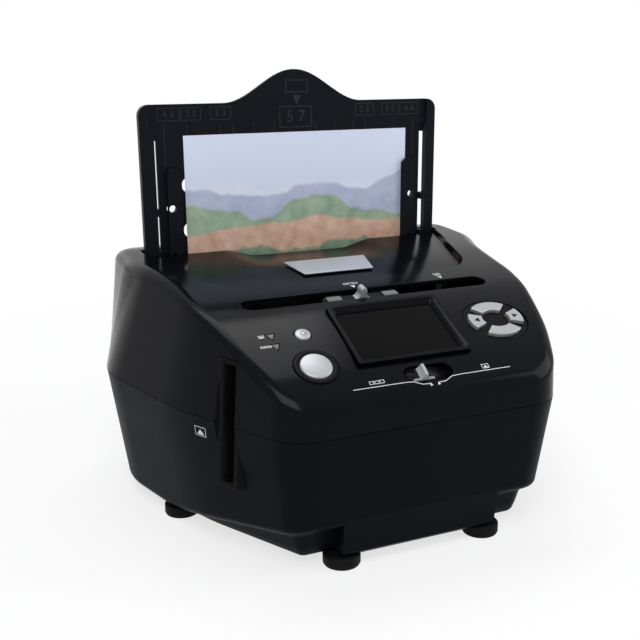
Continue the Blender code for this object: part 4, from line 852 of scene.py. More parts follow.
def cover_rings():
    """Rings of the cover's outside with their normals."""
    seam = full_outline()
    normals = outline_normals(seam)
    slopes = [curve_through(COVER_LEANS, (p.y - FRONT) / BODY_DEPTH) for p in seam]
    side = [(n.to_3d() + Vector((0, 0, k))).normalized() for n, k in zip(normals, slopes)]
    rings, leans = [[(*p, SEAM_HEIGHT) for p in seam]], [side]
    for angle in quarter(EDGE_STEPS):
        ring, lean = [], []
        for p, n, s, slope in zip(seam, normals, side, slopes):
            inset, drop = edge_size(p.y)
            rise = top_height(p.y) - drop - SEAM_HEIGHT
            flat = p - n * (rise * slope + inset * (1 - cos(angle)))
            ring.append((*flat, top_height(flat.y) - drop * (1 - sin(angle))))
            up = Vector((0, -tan(top_slope(flat.y)), 1)).normalized()
            lean.append((s * cos(angle) * drop + up * sin(angle) * inset).normalized())
        if angle == 0:      # rows up the twisted wall, from the seam to the rounded edge
            for r in range(1, WALL_STEPS):
                rings.append([tuple(Vector(a).lerp(Vector(b), r / WALL_STEPS))
                              for a, b in zip(rings[0], ring)])
                leans.append(side)
        rings.append(ring)
        leans.append(lean)
    return rings, leans


def lower_edge(y):
    """Height of the wall's lower edge, which rises to the front."""
    level = FRONT + BASE_LEVEL_SHARE * BODY_DEPTH
    return FLOOR_HEIGHT + BASE_RISE * max(0.0, level - y)


def base_inset(height):
    return (SEAM_HEIGHT - height) * tan(BASE_DRAFT)


def base_rings():
    columns = []
    seam = full_outline()
    for p, n in zip(seam, outline_normals(seam)):
        edge = lower_edge(p.y)
        start = edge + BASE_ROUND
        column = [(*p, SEAM_HEIGHT - GAP)]
        for angle in quarter(EDGE_STEPS - 1):
            inset = base_inset(start) + BASE_ROUND * (1 - cos(angle))
            column.append((*(p - n * inset), start - BASE_ROUND * sin(angle)))
        run = HULL_RUN + HULL_SPREAD * (edge - FLOOR_HEIGHT)
        for inward, left in HULL_STEPS + ((1.0, 0.0),):
            inset = base_inset(start) + BASE_ROUND + run * inward
            column.append((*(p - n * inset), FLOOR_HEIGHT + left * (edge - FLOOR_HEIGHT)))
        columns.append(column)
    return [list(ring) for ring in zip(*columns)]


def cap(row):
    """Corners of the faces across a ring that is the same left and right."""
    count = len(row)
    return [(row[i], row[i + 1], row[count - 2 - i], row[count - 1 - i])
            for i in range(count // 2 - 1)]


def shell(name, rings, look):
    """A casing half of even wall, open at its first ring."""
    bm = bmesh.new()

    def skin(points):
        rows = grid_vertices(bm, points)
        weave(bm, rows)
        for corners in cap(rows[-1]):
            bm.faces.new(corners)
        return rows
    outer = skin(rings)
    bmesh.ops.recalc_face_normals(bm, faces=bm.faces)
    bm.normal_update()
    probe = outer[1][0]
    centre = Vector((0, 0, probe.co.z))
    sign = 1 if probe.normal.dot(probe.co - centre) > 0 else -1
    places = [[v.co - v.normal * (sign * WALL * v.calc_shell_factor()) for v in row]
              for row in outer]
    rim = [Vector(p).to_2d() for p in rings[0]]
    for i, n in enumerate(outline_normals(rim)):
        places[0][i] = Vector((*(rim[i] - n * WALL), rings[0][i][2]))
    inner = skin(places)
    weave(bm, (outer[0], inner[0]))
    return place(name, bm, look)


class Skin:
    """A smooth surface that lends its normals to what is cut out of it."""

    def __init__(self, points, normals, faces):
        self.points = [Vector(p) for p in points]
        self.normals = normals
        self.corners = []
        for face in faces:
            self.corners += [(face[0], face[i], face[i + 1]) for i in range(1, len(face) - 1)]
        self.tree = BVHTree.FromPolygons(self.points, self.corners, all_triangles=True)

    def normal(self, point, facing):
        spot, _, index, gap = self.tree.find_nearest(point)
        if spot is None or gap > NEAR:
            return None
        corners = self.corners[index]
        shares = poly_3d_calc([self.points[c] for c in corners], spot)
        found = sum((self.normals[c] * w for c, w in zip(corners, shares)), Vector())
        if found.length < 0.5:
            return None
        found.normalize()
        return found if found.dot(facing) > SAME_WAY else None


def rows_skin(rings, leans, closed=True):
    """The skin over rings, or over open rows; the last ring is capped."""
    count = len(rings[0])
    rows = [range(r * count, (r + 1) * count) for r in range(len(rings))]
    faces = list(quads(rows, closed)) + (cap(rows[-1]) if closed else [])
    return Skin(sum(rings, []), sum(leans, []), faces)


def borrow_normals(thing, skins):
    """Gives the corners on the skins their smooth normals."""
    mesh = thing.data
    kept = [Vector(c.vector) for c in mesh.corner_normals]
    for face in mesh.polygons:
        for loop in face.loop_indices:
            spot = mesh.vertices[mesh.loops[loop].vertex_index].co
            found = (skin.normal(spot, face.normal) for skin in skins)
            kept[loop] = next(filter(None, found), kept[loop])
    mesh.normals_split_custom_set(kept)


# The sunken area, as a surface

def dish_half(along):
    return curve_through(DISH_SHARES, min(max(along, 0.0), 1.0)) * SLOT_HALF


def dish_share(y):
    return (y - DISH_FRONT) / DISH_LENGTH


def dish_floor_depth(y):
    return DISH_FRONT_DEPTH + dish_share(y) * (DISH_REAR_DEPTH - DISH_FRONT_DEPTH)


def dish_depth(x, y):
    """Depth of the sunken area's surface under the cover's top, a rounded riser at its rim."""
    along = dish_share(y)
    scoop = smooth_step(along, DISH_SCOOP_START, 1.0) * DISH_SCOOP_DEPTH
    dip = 1 - smooth_step(abs(x), DISH_SCOOP_INNER, DISH_SCOOP_OUTER)
    depth = dish_floor_depth(y) + scoop * dip
    side = max(dish_half(along) - abs(x), 0.0)
    ahead = max(y - DISH_FRONT, 0.0)
    room = side * ahead / sqrt(side * side + ahead * ahead) if side * ahead > 0 else 0.0
    t = min(room / DISH_LIP, 1.0)
    share = DISH_LIP_SLOPE * t + (1 - DISH_LIP_SLOPE) * smooth_step(t, 0, 1)
    return (depth + DISH_LIFT) * share - DISH_LIFT


def dish_surface(x, y):
    return top_height(y) - dish_depth(x, y)


def dish_normal(x, y):
    step = SLOPE_STEP
    rise_x = (dish_surface(x + step, y) - dish_surface(x - step, y)) / (2 * step)
    rise_y = (dish_surface(x, y + step) - dish_surface(x, y - step)) / (2 * step)
    return Vector((-rise_x, -rise_y, 1)).normalized()


def dish_grid():
    """Rows of points over the sunken area, close together on its riser."""
    rim = [DISH_LIP * k / RIM_STEPS for k in range(RIM_STEPS + 1)]
    length = DISH_LENGTH + OVERRUN / 2 - DISH_LIP
    ys = [DISH_FRONT + d for d in rim]
    ys += [DISH_FRONT + DISH_LIP + length * k / DISH_ROWS for k in range(1, DISH_ROWS + 1)]
    rows = []
    for y in ys:
        half = dish_half(dish_share(y))
        left = [-half + d for d in rim]
        inner = half - DISH_LIP
        middle = [-inner + 2 * inner * k / DISH_COLUMNS for k in range(1, DISH_COLUMNS)]
        rows.append([(x, y) for x in left + middle + [-x for x in reversed(left)]])
    return rows


def slab(low, high):
    """A closed body between two grids of points."""
    bm = bmesh.new()
    low, high = grid_vertices(bm, low), grid_vertices(bm, high)
    for rows in (low, high, (low[0], high[0]), (low[-1], high[-1])):
        weave(bm, rows, False)
    for side in (0, -1):
        weave(bm, [[row[side] for row in grid] for grid in (low, high)], False)
    return bm


def dish_cutter():
    """The space over the sunken area's surface, and the surface."""
    rows = dish_grid()
    floor = [[(x, y, dish_surface(x, y)) for x, y in row] for row in rows]
    lid = [[(x, y, top_height(y) + OVERRUN) for x, y in row] for row in rows]
    normals = [[dish_normal(x, y) for x, y in row] for row in rows]
    return slab(floor, lid), rows_skin(floor, normals, False)


def dish_pan():
    """The wall that carries the sunken area's floor from below."""
    rows = dish_grid()
    low, high = [], []
    for row in rows[::PAN_STRIDE] + rows[-1:]:
        under, over = [], []
        for x, y in row[::PAN_STRIDE]:
            along = dish_share(y)
            half = dish_half(along)
            px, py = x * (half + WALL) / half, y - WALL * (1 - min(along, 1))
            under.append((px, py, top_height(y) - max(dish_depth(x, y), 0) - WALL))
            over.append((px, py, top_height(py) - WALL / 2))
        low.append(under)
        high.append(over)
    return slab(low, high)


# Film slot frames

def frame_points(side, grow=0.0):
    half = FILM_SLOT_WIDTH / 2 + FRAME_BORDER + grow
    points = [(FRAME_INNER - grow, FILM_Y + half), (FRAME_INNER - grow, FILM_Y - half)]
    for y in (FILM_Y - half, FILM_Y + half):
        out = FRAME_X + (y - FILM_Y) * tan(FRAME_ANGLE) + FRAME_PROUD / cos(FRAME_ANGLE)
        points.append((out + (OVERRUN if grow else 0.0), y))
    return [(side * x, y) for x, y in points]


def frame_heights(grow=0.0):
    half = FILM_SLOT_HEIGHT / 2 + FRAME_BORDER + grow
    return FILM_AXIS - half, FILM_AXIS + half


def window_cutter():
    return join(*[prism(frame_points(side, GAP), *frame_heights(GAP)) for side in (-1, 1)])


def film_tunnel():
    half = HALF_WIDTH + OVERRUN
    return block((-half, half), (FILM_Y - FILM_SLOT_WIDTH / 2, FILM_Y + FILM_SLOT_WIDTH / 2),
                 (FILM_AXIS - FILM_SLOT_HEIGHT / 2, FILM_AXIS + FILM_SLOT_HEIGHT / 2))


def make_film_frames(looks):
    for side, word in SIDES:
        made = place("film_frame_%s_fine" % word, prism(frame_points(side), *frame_heights()),
                     looks["frame"])
        for v in made.data.vertices:
            if v.co.z > SEAM_HEIGHT and abs(v.co.x) > FRAME_INNER + GAP:
                v.co.x -= side * (v.co.z - SEAM_HEIGHT) * FRAME_LEAN
        combine(made, film_tunnel())
        soften(made, ROUND_EDGE)
        piece(made, "housing", "film_frame_" + word)


# Casing

def make_cover(looks):
    rings, leans = cover_rings()
    cover = shell("upper_cover_fine", rings, looks["piano"])
    dish, dish_skin = dish_cutter()
    deep = -2 * WALL
    slot = block((-SLOT_HALF, SLOT_HALF), (TRAY_Y - SLOT_FRONT, TRAY_Y + SLOT_BACK),
                 (SEAM_HEIGHT, BODY_HEIGHT + OVERRUN))
    ring_foot, ring_side = RING_PROUD - RING_THICKNESS - GAP, RING_DIAMETER / 2 + GAP
    scan_side = SCAN_DIAMETER / 2 + GAP
    border = 2 * (KEYPAD_BORDER + GAP)
    holes = join(
        (funnel(lambda g: stadium(SLIDER_SLOT_LENGTH + 2 * g, SLIDER_SLOT_WIDTH + 2 * g), deep,
                HOLE_FLARE), on_panel(0, SLIDER_Y)),
        (funnel(lambda g: stadium(SWITCH_RECESS_LENGTH + 2 * g, SWITCH_RECESS_WIDTH + 2 * g),
                deep, RECESS_FLARE), on_panel(SWITCH_RECESS_X, SWITCH_Y)),
        (prism(rounded(BEZEL_WIDTH + 2 * GAP, BEZEL_LENGTH + 2 * GAP, BEZEL_HOLE_CORNER), deep,
               OVERRUN), on_panel(0, BEZEL_Y)),
        (turned(((0, deep), (scan_side, deep), (scan_side, ring_foot), (ring_side, ring_foot),
                 (ring_side, -GAP), (ring_side + GAP, 0), (ring_side + GAP, OVERRUN),
                 (0, OVERRUN))), on_panel(SCAN_X, SCAN_Y)),
        (funnel(lambda g: circle(POWER_DIAMETER / 2 + GAP + g), deep, HOLE_FLARE),
         on_panel(POWER_X, POWER_Y)),
        (funnel(lambda g: oval(KEY_LENGTH + border + 2 * g, KEY_WIDTH + border + 2 * g), deep,
                GAP), on_panel(KEY_X, KEY_Y)),
        *[(prism(triangle(INDICATOR_SIZE + 4 * GAP), deep, OVERRUN), on_panel(INDICATOR_X, y))
          for y in INDICATOR_PLACES.values()])
    combine(cover, dish, slot, holes, window_cutter(), add=[dish_pan()])
    borrow_normals(cover, [rows_skin(rings, leans), dish_skin])
    piece(cover, "housing", "upper_cover")


def make_base(looks):
    base = shell("base_shell_fine", base_rings(), looks["base"])
    lean = FRONT + GAP / 2
    side_view = ((lean + base_inset(APRON_TOP), APRON_TOP),
                 (lean + base_inset(FLOOR_HEIGHT + WALL), FLOOR_HEIGHT + WALL),
                 (lean + base_inset(FLOOR_HEIGHT) + WALL, FLOOR_HEIGHT),
                 (FRONT + APRON_DEPTH, FLOOR_HEIGHT),
                 (FRONT + APRON_DEPTH, FLOOR_HEIGHT + WALL),
                 (lean + base_inset(APRON_TOP) + WALL, APRON_TOP))
    upright = Matrix(((0, 0, 1, 0), (1, 0, 0, 0), (0, 1, 0, 0), (0, 0, 0, 1)))
    apron = (prism(side_view, -APRON_WIDTH / 2, APRON_WIDTH / 2), upright)

    def at_screws(*sizes):
        return join(*[(disc(*sizes), at(side * x, y, 0))
                      for x, y in SCREW_PLACES.values() for side in (-1, 1)])
    posts = at_screws(BOSS_RADIUS, FLOOR_HEIGHT + WALL / 2, BOSS_TOP)
    bores = at_screws(SCREW_BORE / 2, 0, SCREW_SEAT)
    holes = at_screws(SCREW_HOLE / 2, 0, BOSS_TOP + OVERRUN, FINE_BORE_SIDES)
    lift = IO_BOARD_HEIGHT + BOARD_THICKNESS + GAP
    mouths = join(*[block((x - wide / 2 - GAP, x + wide / 2 + GAP),
                          (REAR - TRAY_TO_REAR / 2, REAR), (lift - GAP, lift + high + GAP))
                    for x, wide, high in SOCKETS])
    combine(base, bores, holes, mouths, window_cutter(), add=[apron, posts])
    piece(base, "housing", "base_shell")


# Screen and controls

def make_screen(looks):
    seat = on_panel(0, BEZEL_Y)
    low = BEZEL_PROUD - BEZEL_DEPTH
    steps = ((0.0, low - OVERRUN), (0.0, BEZEL_PROUD - GLASS_SUNK + GAP),
             (BEZEL_SLOPE * BEZEL_SLOPE_SHARE, BEZEL_PROUD - GAP), (BEZEL_SLOPE, BEZEL_PROUD),
             (BEZEL_SLOPE, BEZEL_PROUD + OVERRUN))
    hole = loft([[(x, y, z) for x, y in rounded(GLASS_WIDTH + 2 * GAP + 2 * grow,
                                                GLASS_LENGTH + 2 * GAP + 2 * grow,
                                                GLASS_CORNER + grow / 2)]
                 for grow, z in steps])
    bezel = prism(rounded(BEZEL_WIDTH, BEZEL_LENGTH, BEZEL_CORNER), low, BEZEL_PROUD)
    remake("lcd_bezel", "housing", bezel, looks["bezel"], seat, [(hole, seat)],
           edges=(SOFT_EDGE,))


def dome(radius, low, high, round_off):
    """Cap with a rolled edge and a slightly raised middle."""
    crown = round_off * CROWN_SHARE
    profile = [(0, low), (radius, low)]
    for angle in quarter():
        profile.append((radius - round_off * (1 - cos(angle)),
                        high - crown - round_off * (1 - sin(angle))))
    inner = radius - round_off
    profile += [(inner * share, high - crown * share ** 2)
                for share in (1 - k / ARC_STEPS for k in range(1, ARC_STEPS))]
    return turned(profile + [(0, high)])


def key_points(start, stop, grow=0.0):
    """A key's outline between two angles, in degrees, of the oval group."""
    outer, inner = [], []
    for k in range(KEY_STEPS):
        angle = radians(start + (stop - start) * k / (KEY_STEPS - 1))
        outer.append(((KEY_LENGTH / 2 + grow) * cos(angle), (KEY_WIDTH / 2 + grow) * sin(angle)))
        inner.append(((KEY_HOLE_LENGTH / 2 - grow) * cos(angle),
                      (KEY_HOLE_WIDTH / 2 - grow) * sin(angle)))
    return outer + list(reversed(inner))


def make_buttons(looks):
    ring = tube(RING_DIAMETER / 2, SCAN_DIAMETER / 2 + GAP, RING_PROUD - RING_THICKNESS,
                RING_PROUD, RING_ROUND)
    remake("scan_ring", "housing", ring, looks["frame"], on_panel(SCAN_X, SCAN_Y))
    caps = (("scan_button", "scan", SCAN_X, SCAN_Y, SCAN_DIAMETER, SCAN_PROUD, SCAN_ROUND),
            ("power_button", "power", POWER_X, POWER_Y, POWER_DIAMETER, POWER_PROUD,
             POWER_ROUND))
    for name, body, x, y, width, proud, roll in caps:
        remake(name, body, dome(width / 2, -BUTTON_DEPTH, proud, roll), looks["silver"],
               on_panel(x, y), sharp=50)
    seat = on_panel(KEY_X, KEY_Y)
    pad = prism(oval(KEY_LENGTH + 2 * KEYPAD_BORDER, KEY_WIDTH + 2 * KEYPAD_BORDER),
                -KEYPAD_SUNK - KEYPAD_THICKNESS, -KEYPAD_SUNK)
    cuts = join(*[(prism(key_points(start + KEY_TRIM - 1, stop - KEY_TRIM + 1, GAP - KEY_SLIM),
                         -BUTTON_DEPTH, OVERRUN), seat) for _, start, stop in KEYS.values()])
    remake("keypad_plate", "housing", pad, looks["frame"], seat, [cuts], edges=(KEYPAD_ROUND, 2))
    for name, (body, start, stop) in KEYS.items():
        key = prism(key_points(start + KEY_TRIM, stop - KEY_TRIM, -KEY_SLIM), -BUTTON_DEPTH,
                    KEY_PROUD)
        remake(name, body, key, looks["silver"], seat,
               edges=(KEY_ROUND, 4))
    for word, y in INDICATOR_PLACES.items():
        window = prism(triangle(INDICATOR_SIZE), -INDICATOR_DEPTH, INDICATOR_PROUD)
        remake("indicator_" + word, "housing", window, looks["indicator"],
               on_panel(INDICATOR_X, y), edges=(SOFT_EDGE,))


def fin(base, top, low, high, width, flare):
    """A lever's finger hold: a narrow head on a foot that runs out in a hollow curve."""
    outline = []
    for share in (k / 12 for k in range(13)):
        half = top / 2 + (base / 2 - top / 2) * (1 - share) ** flare
        outline.append((half, low + (high - top / 2 - low) * share))
    for angle in quarter()[1:]:
        outline.append((top / 2 * cos(angle), high - top / 2 + top / 2 * sin(angle)))
    whole = outline + [(-x, z) for x, z in reversed(outline[:-1])]
    return join((prism(whole, -width / 2, width / 2), UPRIGHT))


def ridges(from_x, count, width, low, high, pitch=RIDGE_PITCH):
    """Grip ridges across a lever, one after another along X."""
    return join(*[block((from_x + pitch * k, from_x + pitch * k + RIDGE_WIDTH),
                        (-width / 2, width / 2), (low, high)) for k in range(count)])


def make_slider(looks):
    seat = on_panel(SLIDER_X, SLIDER_Y - (SLIDER_SLOT_WIDTH - SLIDER_BASE_WIDTH) / 2
                    + SLIDER_BASE_BACK)
    high = -SLIDER_BASE_SUNK
    low = high - SLIDER_BASE_THICKNESS
    # The plate wears the dark frame finish as painted shade: it is silver like its fin and grips,
    # and stands in shadow.
    remake("mode_slider", "slider", prism(stadium(SLIDER_BASE, SLIDER_BASE_WIDTH), low, high),
           looks["frame"], seat, edges=(LEVER_ROUND, 2))
    shape = fin(SLIDER_NIB_FOOT, SLIDER_NIB_TOP, low + GAP, high + SLIDER_NIB_HEIGHT,
                SLIDER_BASE_WIDTH * SLIDER_NIB_SHARE, SLIDER_NIB_FLARE)
    nib = place("mode_slider_nib", shape, looks["silver"], seat)
    soften(nib, LEVER_ROUND, 2)
    piece(nib, "slider")
    for word, x in SLIDER_GRIP_X.items():
        mark("mode_slider_grip_" + word,
             ridges(x, SLIDER_GRIP_COUNT, SLIDER_BASE_WIDTH * SLIDER_GRIP_SHARE, low + GAP,
                    high + RIDGE_PROUD), looks["silver"], seat, "slider")


def make_lens_switch(looks):
    """The solid with its finger hold's flanks hollowed, and a grip."""
    seat = on_panel(SWITCH_X, SWITCH_Y)
    high, top = -SWITCH_SUNK, SWITCH_NIB_HEIGHT - SWITCH_SUNK
    switch = stand("lens_switch_fine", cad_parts["lens_switch"].data.copy())
    head, growth, flare = SWITCH_FLANK
    reach = SWITCH_FLANK_REACH
    cuts = []
    for side in (-1, 1):
        flank = [(side * (head + growth * (1 - k / 10) ** flare),
                  high + SWITCH_FLANK_LOW + (top + SWITCH_FLANK_OVER - high) * k / 10)
                 for k in range(11)]
        flank += [(side * reach, flank[-1][1]), (side * reach, flank[0][1])]
        cuts.append((prism(flank, -reach, reach), seat @ UPRIGHT))
    combine(switch, join(*cuts))
    piece(switch, "switch", "lens_switch")
    low = high - SWITCH_GRIP_SUNK
    mark("lens_switch_grip",
         ridges(SWITCH_GRIP_X, SWITCH_GRIP_COUNT, SWITCH_GRIP_WIDTH, low, low + RIDGE_PROUD,
                SWITCH_GRIP_PITCH), looks["silver"], seat @ at(0, SWITCH_GRIP_Y, 0), "switch")


# Marks

def bar(x0, x1, y0, y1):
    return block((x0, x1), (y0, y1), (-MARK_SUNK, MARK_PROUD))


def stroke(points, width, low=-MARK_SUNK, high=MARK_PROUD):
    """A line of even width along points in X and Y."""
    left, right = [], []
    count = len(points)
    for i, p in enumerate(points):
        p = Vector(p)
        before = Vector(points[max(i - 1, 0)])
        after = Vector(points[min(i + 1, count - 1)])
        run = (after - before).normalized()
        side = Vector((-run.y, run.x)) * width / 2
        left.append(p + side)
        right.append(p - side)
    return prism(left + list(reversed(right)), low, high)


def outlined(x0, x1, y0, y1, width=MARK_LINE):
    """The four thin bars of a rectangle, for join."""
    return [bar(x0, x1, y0, y0 + width), bar(x0, x1, y1 - width, y1),
            bar(x0, x0 + width, y0 + width, y1 - width),
            bar(x1 - width, x1, y0 + width, y1 - width)]


def arrow(size, low=-ARROW_SUNK, high=MARK_PROUD):
    return prism(triangle(size), low, high)


def film_sign(size):
    """A strip with three pictures on it."""
    step, half, high = (size * share for share in FILM_SIGN_SHARES)
    parts = []
    for middle in (-step, 0, step):
        parts += outlined(middle - half, middle + half, -high, high)
    return join(*parts)


def photo_sign(size):
    """A frame with a hill in it."""
    half, high = (size * share for share in PHOTO_SIGN_SHARES)
    wide, foot, peak = (size * share for share in HILL_SHARES)
    hill = prism(((-wide, foot), (wide, foot), (0.0, peak)), -MARK_SUNK, MARK_PROUD)
    return join(*outlined(-half, half, -high, high), hill)


def wall_place(side, y, height):
    """A place on the base's leaning side wall, facing out."""
    spots = sorted((p for p in full_outline() if p.x * side > 0), key=lambda p: abs(p.y - y))
    a, b = sorted(spots[:2], key=lambda p: p.y)
    run = (b - a).normalized()
    out = Vector((side * run.y, -side * run.x, 0))
    x = a.x + (b.x - a.x) * (y - a.y) / (b.y - a.y)
    spot = Vector((x, y, height)) - out * base_inset(height)
    up = (Vector((0, 0, 1)) + out * tan(BASE_DRAFT)).normalized()
    right = up.cross(out).normalized()
    out = right.cross(up)
    return Matrix(((right.x, up.x, out.x, spot.x), (right.y, up.y, out.y, spot.y),
                   (right.z, up.z, out.z, spot.z), (0, 0, 0, 1)))


def make_marks(looks):
    white = looks["marking"]
    signs = {"film": film_sign, "photo": photo_sign}
    for word, x in SLOT_MARK_X.items():
        mark("slot_arrow_" + word, arrow(SLOT_ARROW), white, on_panel(x, SLOT_MARK_Y))
        mark("slot_sign_" + word, signs[word](SLOT_SIGN), white,
             on_panel(x, SLOT_MARK_Y + SLOT_SIGN_RISE))
    aside, above = INDICATOR_SIGN_SHIFT
    for word, y in INDICATOR_PLACES.items():
        mark("indicator_sign_" + word, signs[word](INDICATOR_SIGN), white,
             on_panel(INDICATOR_X + aside, y + above))
    level = SWITCH_MARK_Y + SWITCH_LINE_RISE
    aside, above = SWITCH_SIGN_SHIFT
    for word, (x, end) in SWITCH_MARK_X.items():
        way = 1 if end > x else -1
        line = [(end, level)] + [(x + way * out, level + rise) for out, rise in SWITCH_LINE_BENDS]
        mark("switch_line_" + word, stroke(line, SWITCH_LINE_WIDTH), white,
             on_panel(0, SWITCH_Y) @ at(0, -SWITCH_Y, 0))
        mark("switch_arrow_" + word, arrow(-SWITCH_ARROW), white,
             on_panel(x, SWITCH_MARK_Y + SWITCH_ARROW_RISE))
        mark("switch_sign_" + word, signs[word](SWITCH_SIGN), white,
             on_panel(end - way * aside, level + above))
    mark("film_side_sign", photo_sign(SIDE_SIGN), white, wall_place(-1, *SIDE_SIGN_PLACE))
    for side, word in SIDES:
        sign = arrow(KEY_ARROW, KEY_PROUD - ARROW_SUNK, KEY_PROUD + MARK_PROUD)
        middle = side * (KEY_LENGTH + KEY_HOLE_LENGTH) / 4
        mark(word + "_key_arrow", sign, looks["frame"], on_panel(KEY_X, KEY_Y)
             @ at(middle, 0, 0) @ turn(side * pi / 2, "Z"), word + "_button")
    arc = [(POWER_SIGN_RADIUS * cos(a), POWER_SIGN_RADIUS * sin(a) - POWER_SIGN_DROP)
           for a in (radians(50 - 28 * k) for k in range(11))]
    line = [(0, rise) for rise in POWER_LINE]
    sign = join(*[stroke(way, MARK_LINE, POWER_PROUD - POWER_SIGN_DEPTH,
                         POWER_PROUD + POWER_SIGN_PROUD) for way in (arc, line)])
    mark("power_sign", sign, looks["frame"], on_panel(POWER_X, POWER_Y), "power")


def number(body, size):
    """Plain figures as a thin mesh, centred on the origin."""
    curve = bpy.data.curves.new("number", "FONT")
    curve.body = body
    curve.size = size
    curve.extrude = TRAY_MARK_HALF
    curve.align_x = curve.align_y = "CENTER"
    curve.resolution_u = 2
    holder = stand("number", curve)
    mesh = evaluated(holder)
    bpy.data.objects.remove(holder)
    bm = bmesh.new()
    bm.from_mesh(mesh)
    bpy.data.meshes.remove(mesh)
    return bm


def make_tray_marks(looks):
    """Size lines and plain figures on the tray's upper part, as they stand in the photo."""
    thin = (-TRAY_MARK_HALF, TRAY_MARK_HALF)
    parts = [block((side * x - TRAY_LINE_HALF, side * x + TRAY_LINE_HALF),
                   (low, TRAY_LINE_TOP), thin)
             for x, low in TRAY_LINES for side in (-1, 1)]
    for box in TRAY_BOXES:
        parts += outlined(*box)
    for ends in TRAY_SIZE_BOXES:
        parts += outlined(*ends, *TRAY_SIZE_HEIGHTS, TRAY_SIZE_LINE)
    size, x, z = TRAY_ARROW
    parts.append((arrow(size, *thin), at(x, z, 0)))
    for figures, size, x, z in TRAY_SIZES + (TRAY_FIGURES,):
        parts.append((number(figures, size), at(x, z, 0)))
    # The marks are embossed in the tray's own plastic; their lighter colour is a painted
    # highlight.
    mark("tray_marks", join(*parts), looks["painted_highlight_tray_mark"], facing_front(0, TRAY_Y, 0), "tray")


# Tray

def tray_outline():
    half = TRAY_WIDTH / 2
    points = [(-half, TRAY_BOTTOM), (half, TRAY_BOTTOM)]
    for angle in quarter(8):
        points.append((half - TRAY_CORNER * (1 - cos(angle)) * TRAY_CORNER_SHARE,
                       TRAY_SHOULDER - TRAY_CORNER * (1 - sin(angle)) * TRAY_CORNER_SHARE))
    for k in range(HUMP_STEPS + 1):
        share = 1 - 2 * k / HUMP_STEPS
        rise = (1 + cos(pi * share)) / 2
        points.append((share * HUMP_WIDTH / 2, TRAY_SHOULDER + HUMP_HEIGHT * rise))
    mirrored = [(-x, y) for x, y in reversed(points[2:11])]
    return points + mirrored


def make_tray(looks):
    upright = facing_front(0, TRAY_Y, 0)
    half = TRAY_WIDTH / 2
    deep = TRAY_THICKNESS / 2
    inner, upper = half - TRAY_SIDE_RAIL, half - TRAY_UPPER_RAIL
    above = TRAY_SHOULDER + HUMP_HEIGHT + OVERRUN
    jog_low, jog_high = TRAY_JOG
    right = [(inner, TRAY_LEDGE), (inner, jog_low), (upper, jog_high), (upper, above)]
    low_cut = prism(right + [(-x, y) for x, y in reversed(right)], deep - TRAY_PANEL,
                    deep + OVERRUN)
    ledge = block((-inner, inner), (TRAY_BOTTOM - OVERRUN, TRAY_LEDGE + GAP),
                  (2 * GAP, deep + OVERRUN))
    groove = block((-inner, inner), (TONGUE_BOTTOM - GAP, TONGUE_BOTTOM + TONGUE_HEIGHT + GAP),
                   (3 * GAP - TONGUE_DEPTH - GAP, deep))
    cuts = []
    for side, wide in TRAY_SIDE_SLOTS.items():
        across = sorted((side * (inner - GAP), side * (inner + wide)))
        for run in ((TRAY_SLOT_LOW, TRAY_TAB[0]), (TRAY_TAB[1], jog_low)):
            cuts.append((block(across, run, (-deep - OVERRUN, deep + OVERRUN)), upright))
        for height in GUIDE_HOLES:
            cuts.append((disc(PANEL_HOLE / 2, -deep - OVERRUN, deep),
                         facing_front(side * GUIDE_HOLE_X, TRAY_Y, height)))
    for height in WINDOWS:
        cuts.append((prism(stadium(WINDOW_WIDTH, WINDOW_HEIGHT), -deep - OVERRUN, deep),
                     facing_front(0, TRAY_Y, height)))
    remake("photo_tray", "tray", prism(tray_outline(), -deep, deep), looks["tray"], upright,
           [(low_cut, upright), (ledge, upright), (groove, upright), join(*cuts)],
           edges=(ROUND_EDGE, 2, 50))


def make_guides(looks):
    low = GAP + PRINT_THICKNESS + GAP
    high = low + GUIDE_THICKNESS
    upright = facing_front(0, TRAY_Y, 0)
    outer, inner, shoe = GUIDE_OUTER, GUIDE_OUTER - GUIDE_WIDTH, GUIDE_OUTER - SHOE_WIDTH
    corner, top = GUIDE_CORNER, GUIDE_TOP
    tops = {"left": [(outer - corner * (1 - cos(a)), top - corner * (1 - sin(a)))
                     for a in quarter()]
                    + [(inner + corner * (1 - sin(a)), top - corner * (1 - cos(a)))
                       for a in quarter()],
            "right": [(outer, top), (inner + corner, top), (inner, top - corner)]}
    for side, word in SIDES:
        points = [(outer, SHOE_BOTTOM), *tops[word], (inner, TRAY_LEDGE), (shoe, TRAY_LEDGE),
                  (shoe, SHOE_BOTTOM)]
        tongue = block(sorted((side * (shoe + GAP), side * (outer - GAP))),
                       (TONGUE_BOTTOM, TONGUE_BOTTOM + TONGUE_HEIGHT),
                       (low - TONGUE_DEPTH, low + GAP))
        holes = join(*[(disc(GUIDE_HOLE / 2, 0, high + OVERRUN),
                        facing_front(side * GUIDE_HOLE_X, TRAY_Y, height))
                       for height in GUIDE_HOLES])
        remake("print_guide_" + word, word + "_guide",
               prism([(side * x, y) for x, y in points], low, high), looks["tray"], upright,
               [holes], [(tongue, upright)], (SOFT_EDGE, 2))


# Feet and badge

def make_feet(looks):
    r, top = FOOT_DIAMETER / 2, FLOOR_HEIGHT - GAP
    hollow, rim = (r * share for share in FOOT_RIM_SHARES)
    profile = ((0, FOOT_HOLLOW), (hollow, FOOT_HOLLOW), (rim, 0), (r - FOOT_ROUND, 0),
               (r - FOOT_EDGE, FOOT_RISE), (r, FOOT_ROUND), (r, top - FOOT_EDGE),
               (r - FOOT_EDGE, top), (0, top))
    for word, (x, y) in FOOT_PLACES.items():
        for side, hand in SIDES:
            remake("foot_%s_%s" % (word, hand), "housing", turned(profile), looks["rubber"],
                   at(side * x, y, 0))


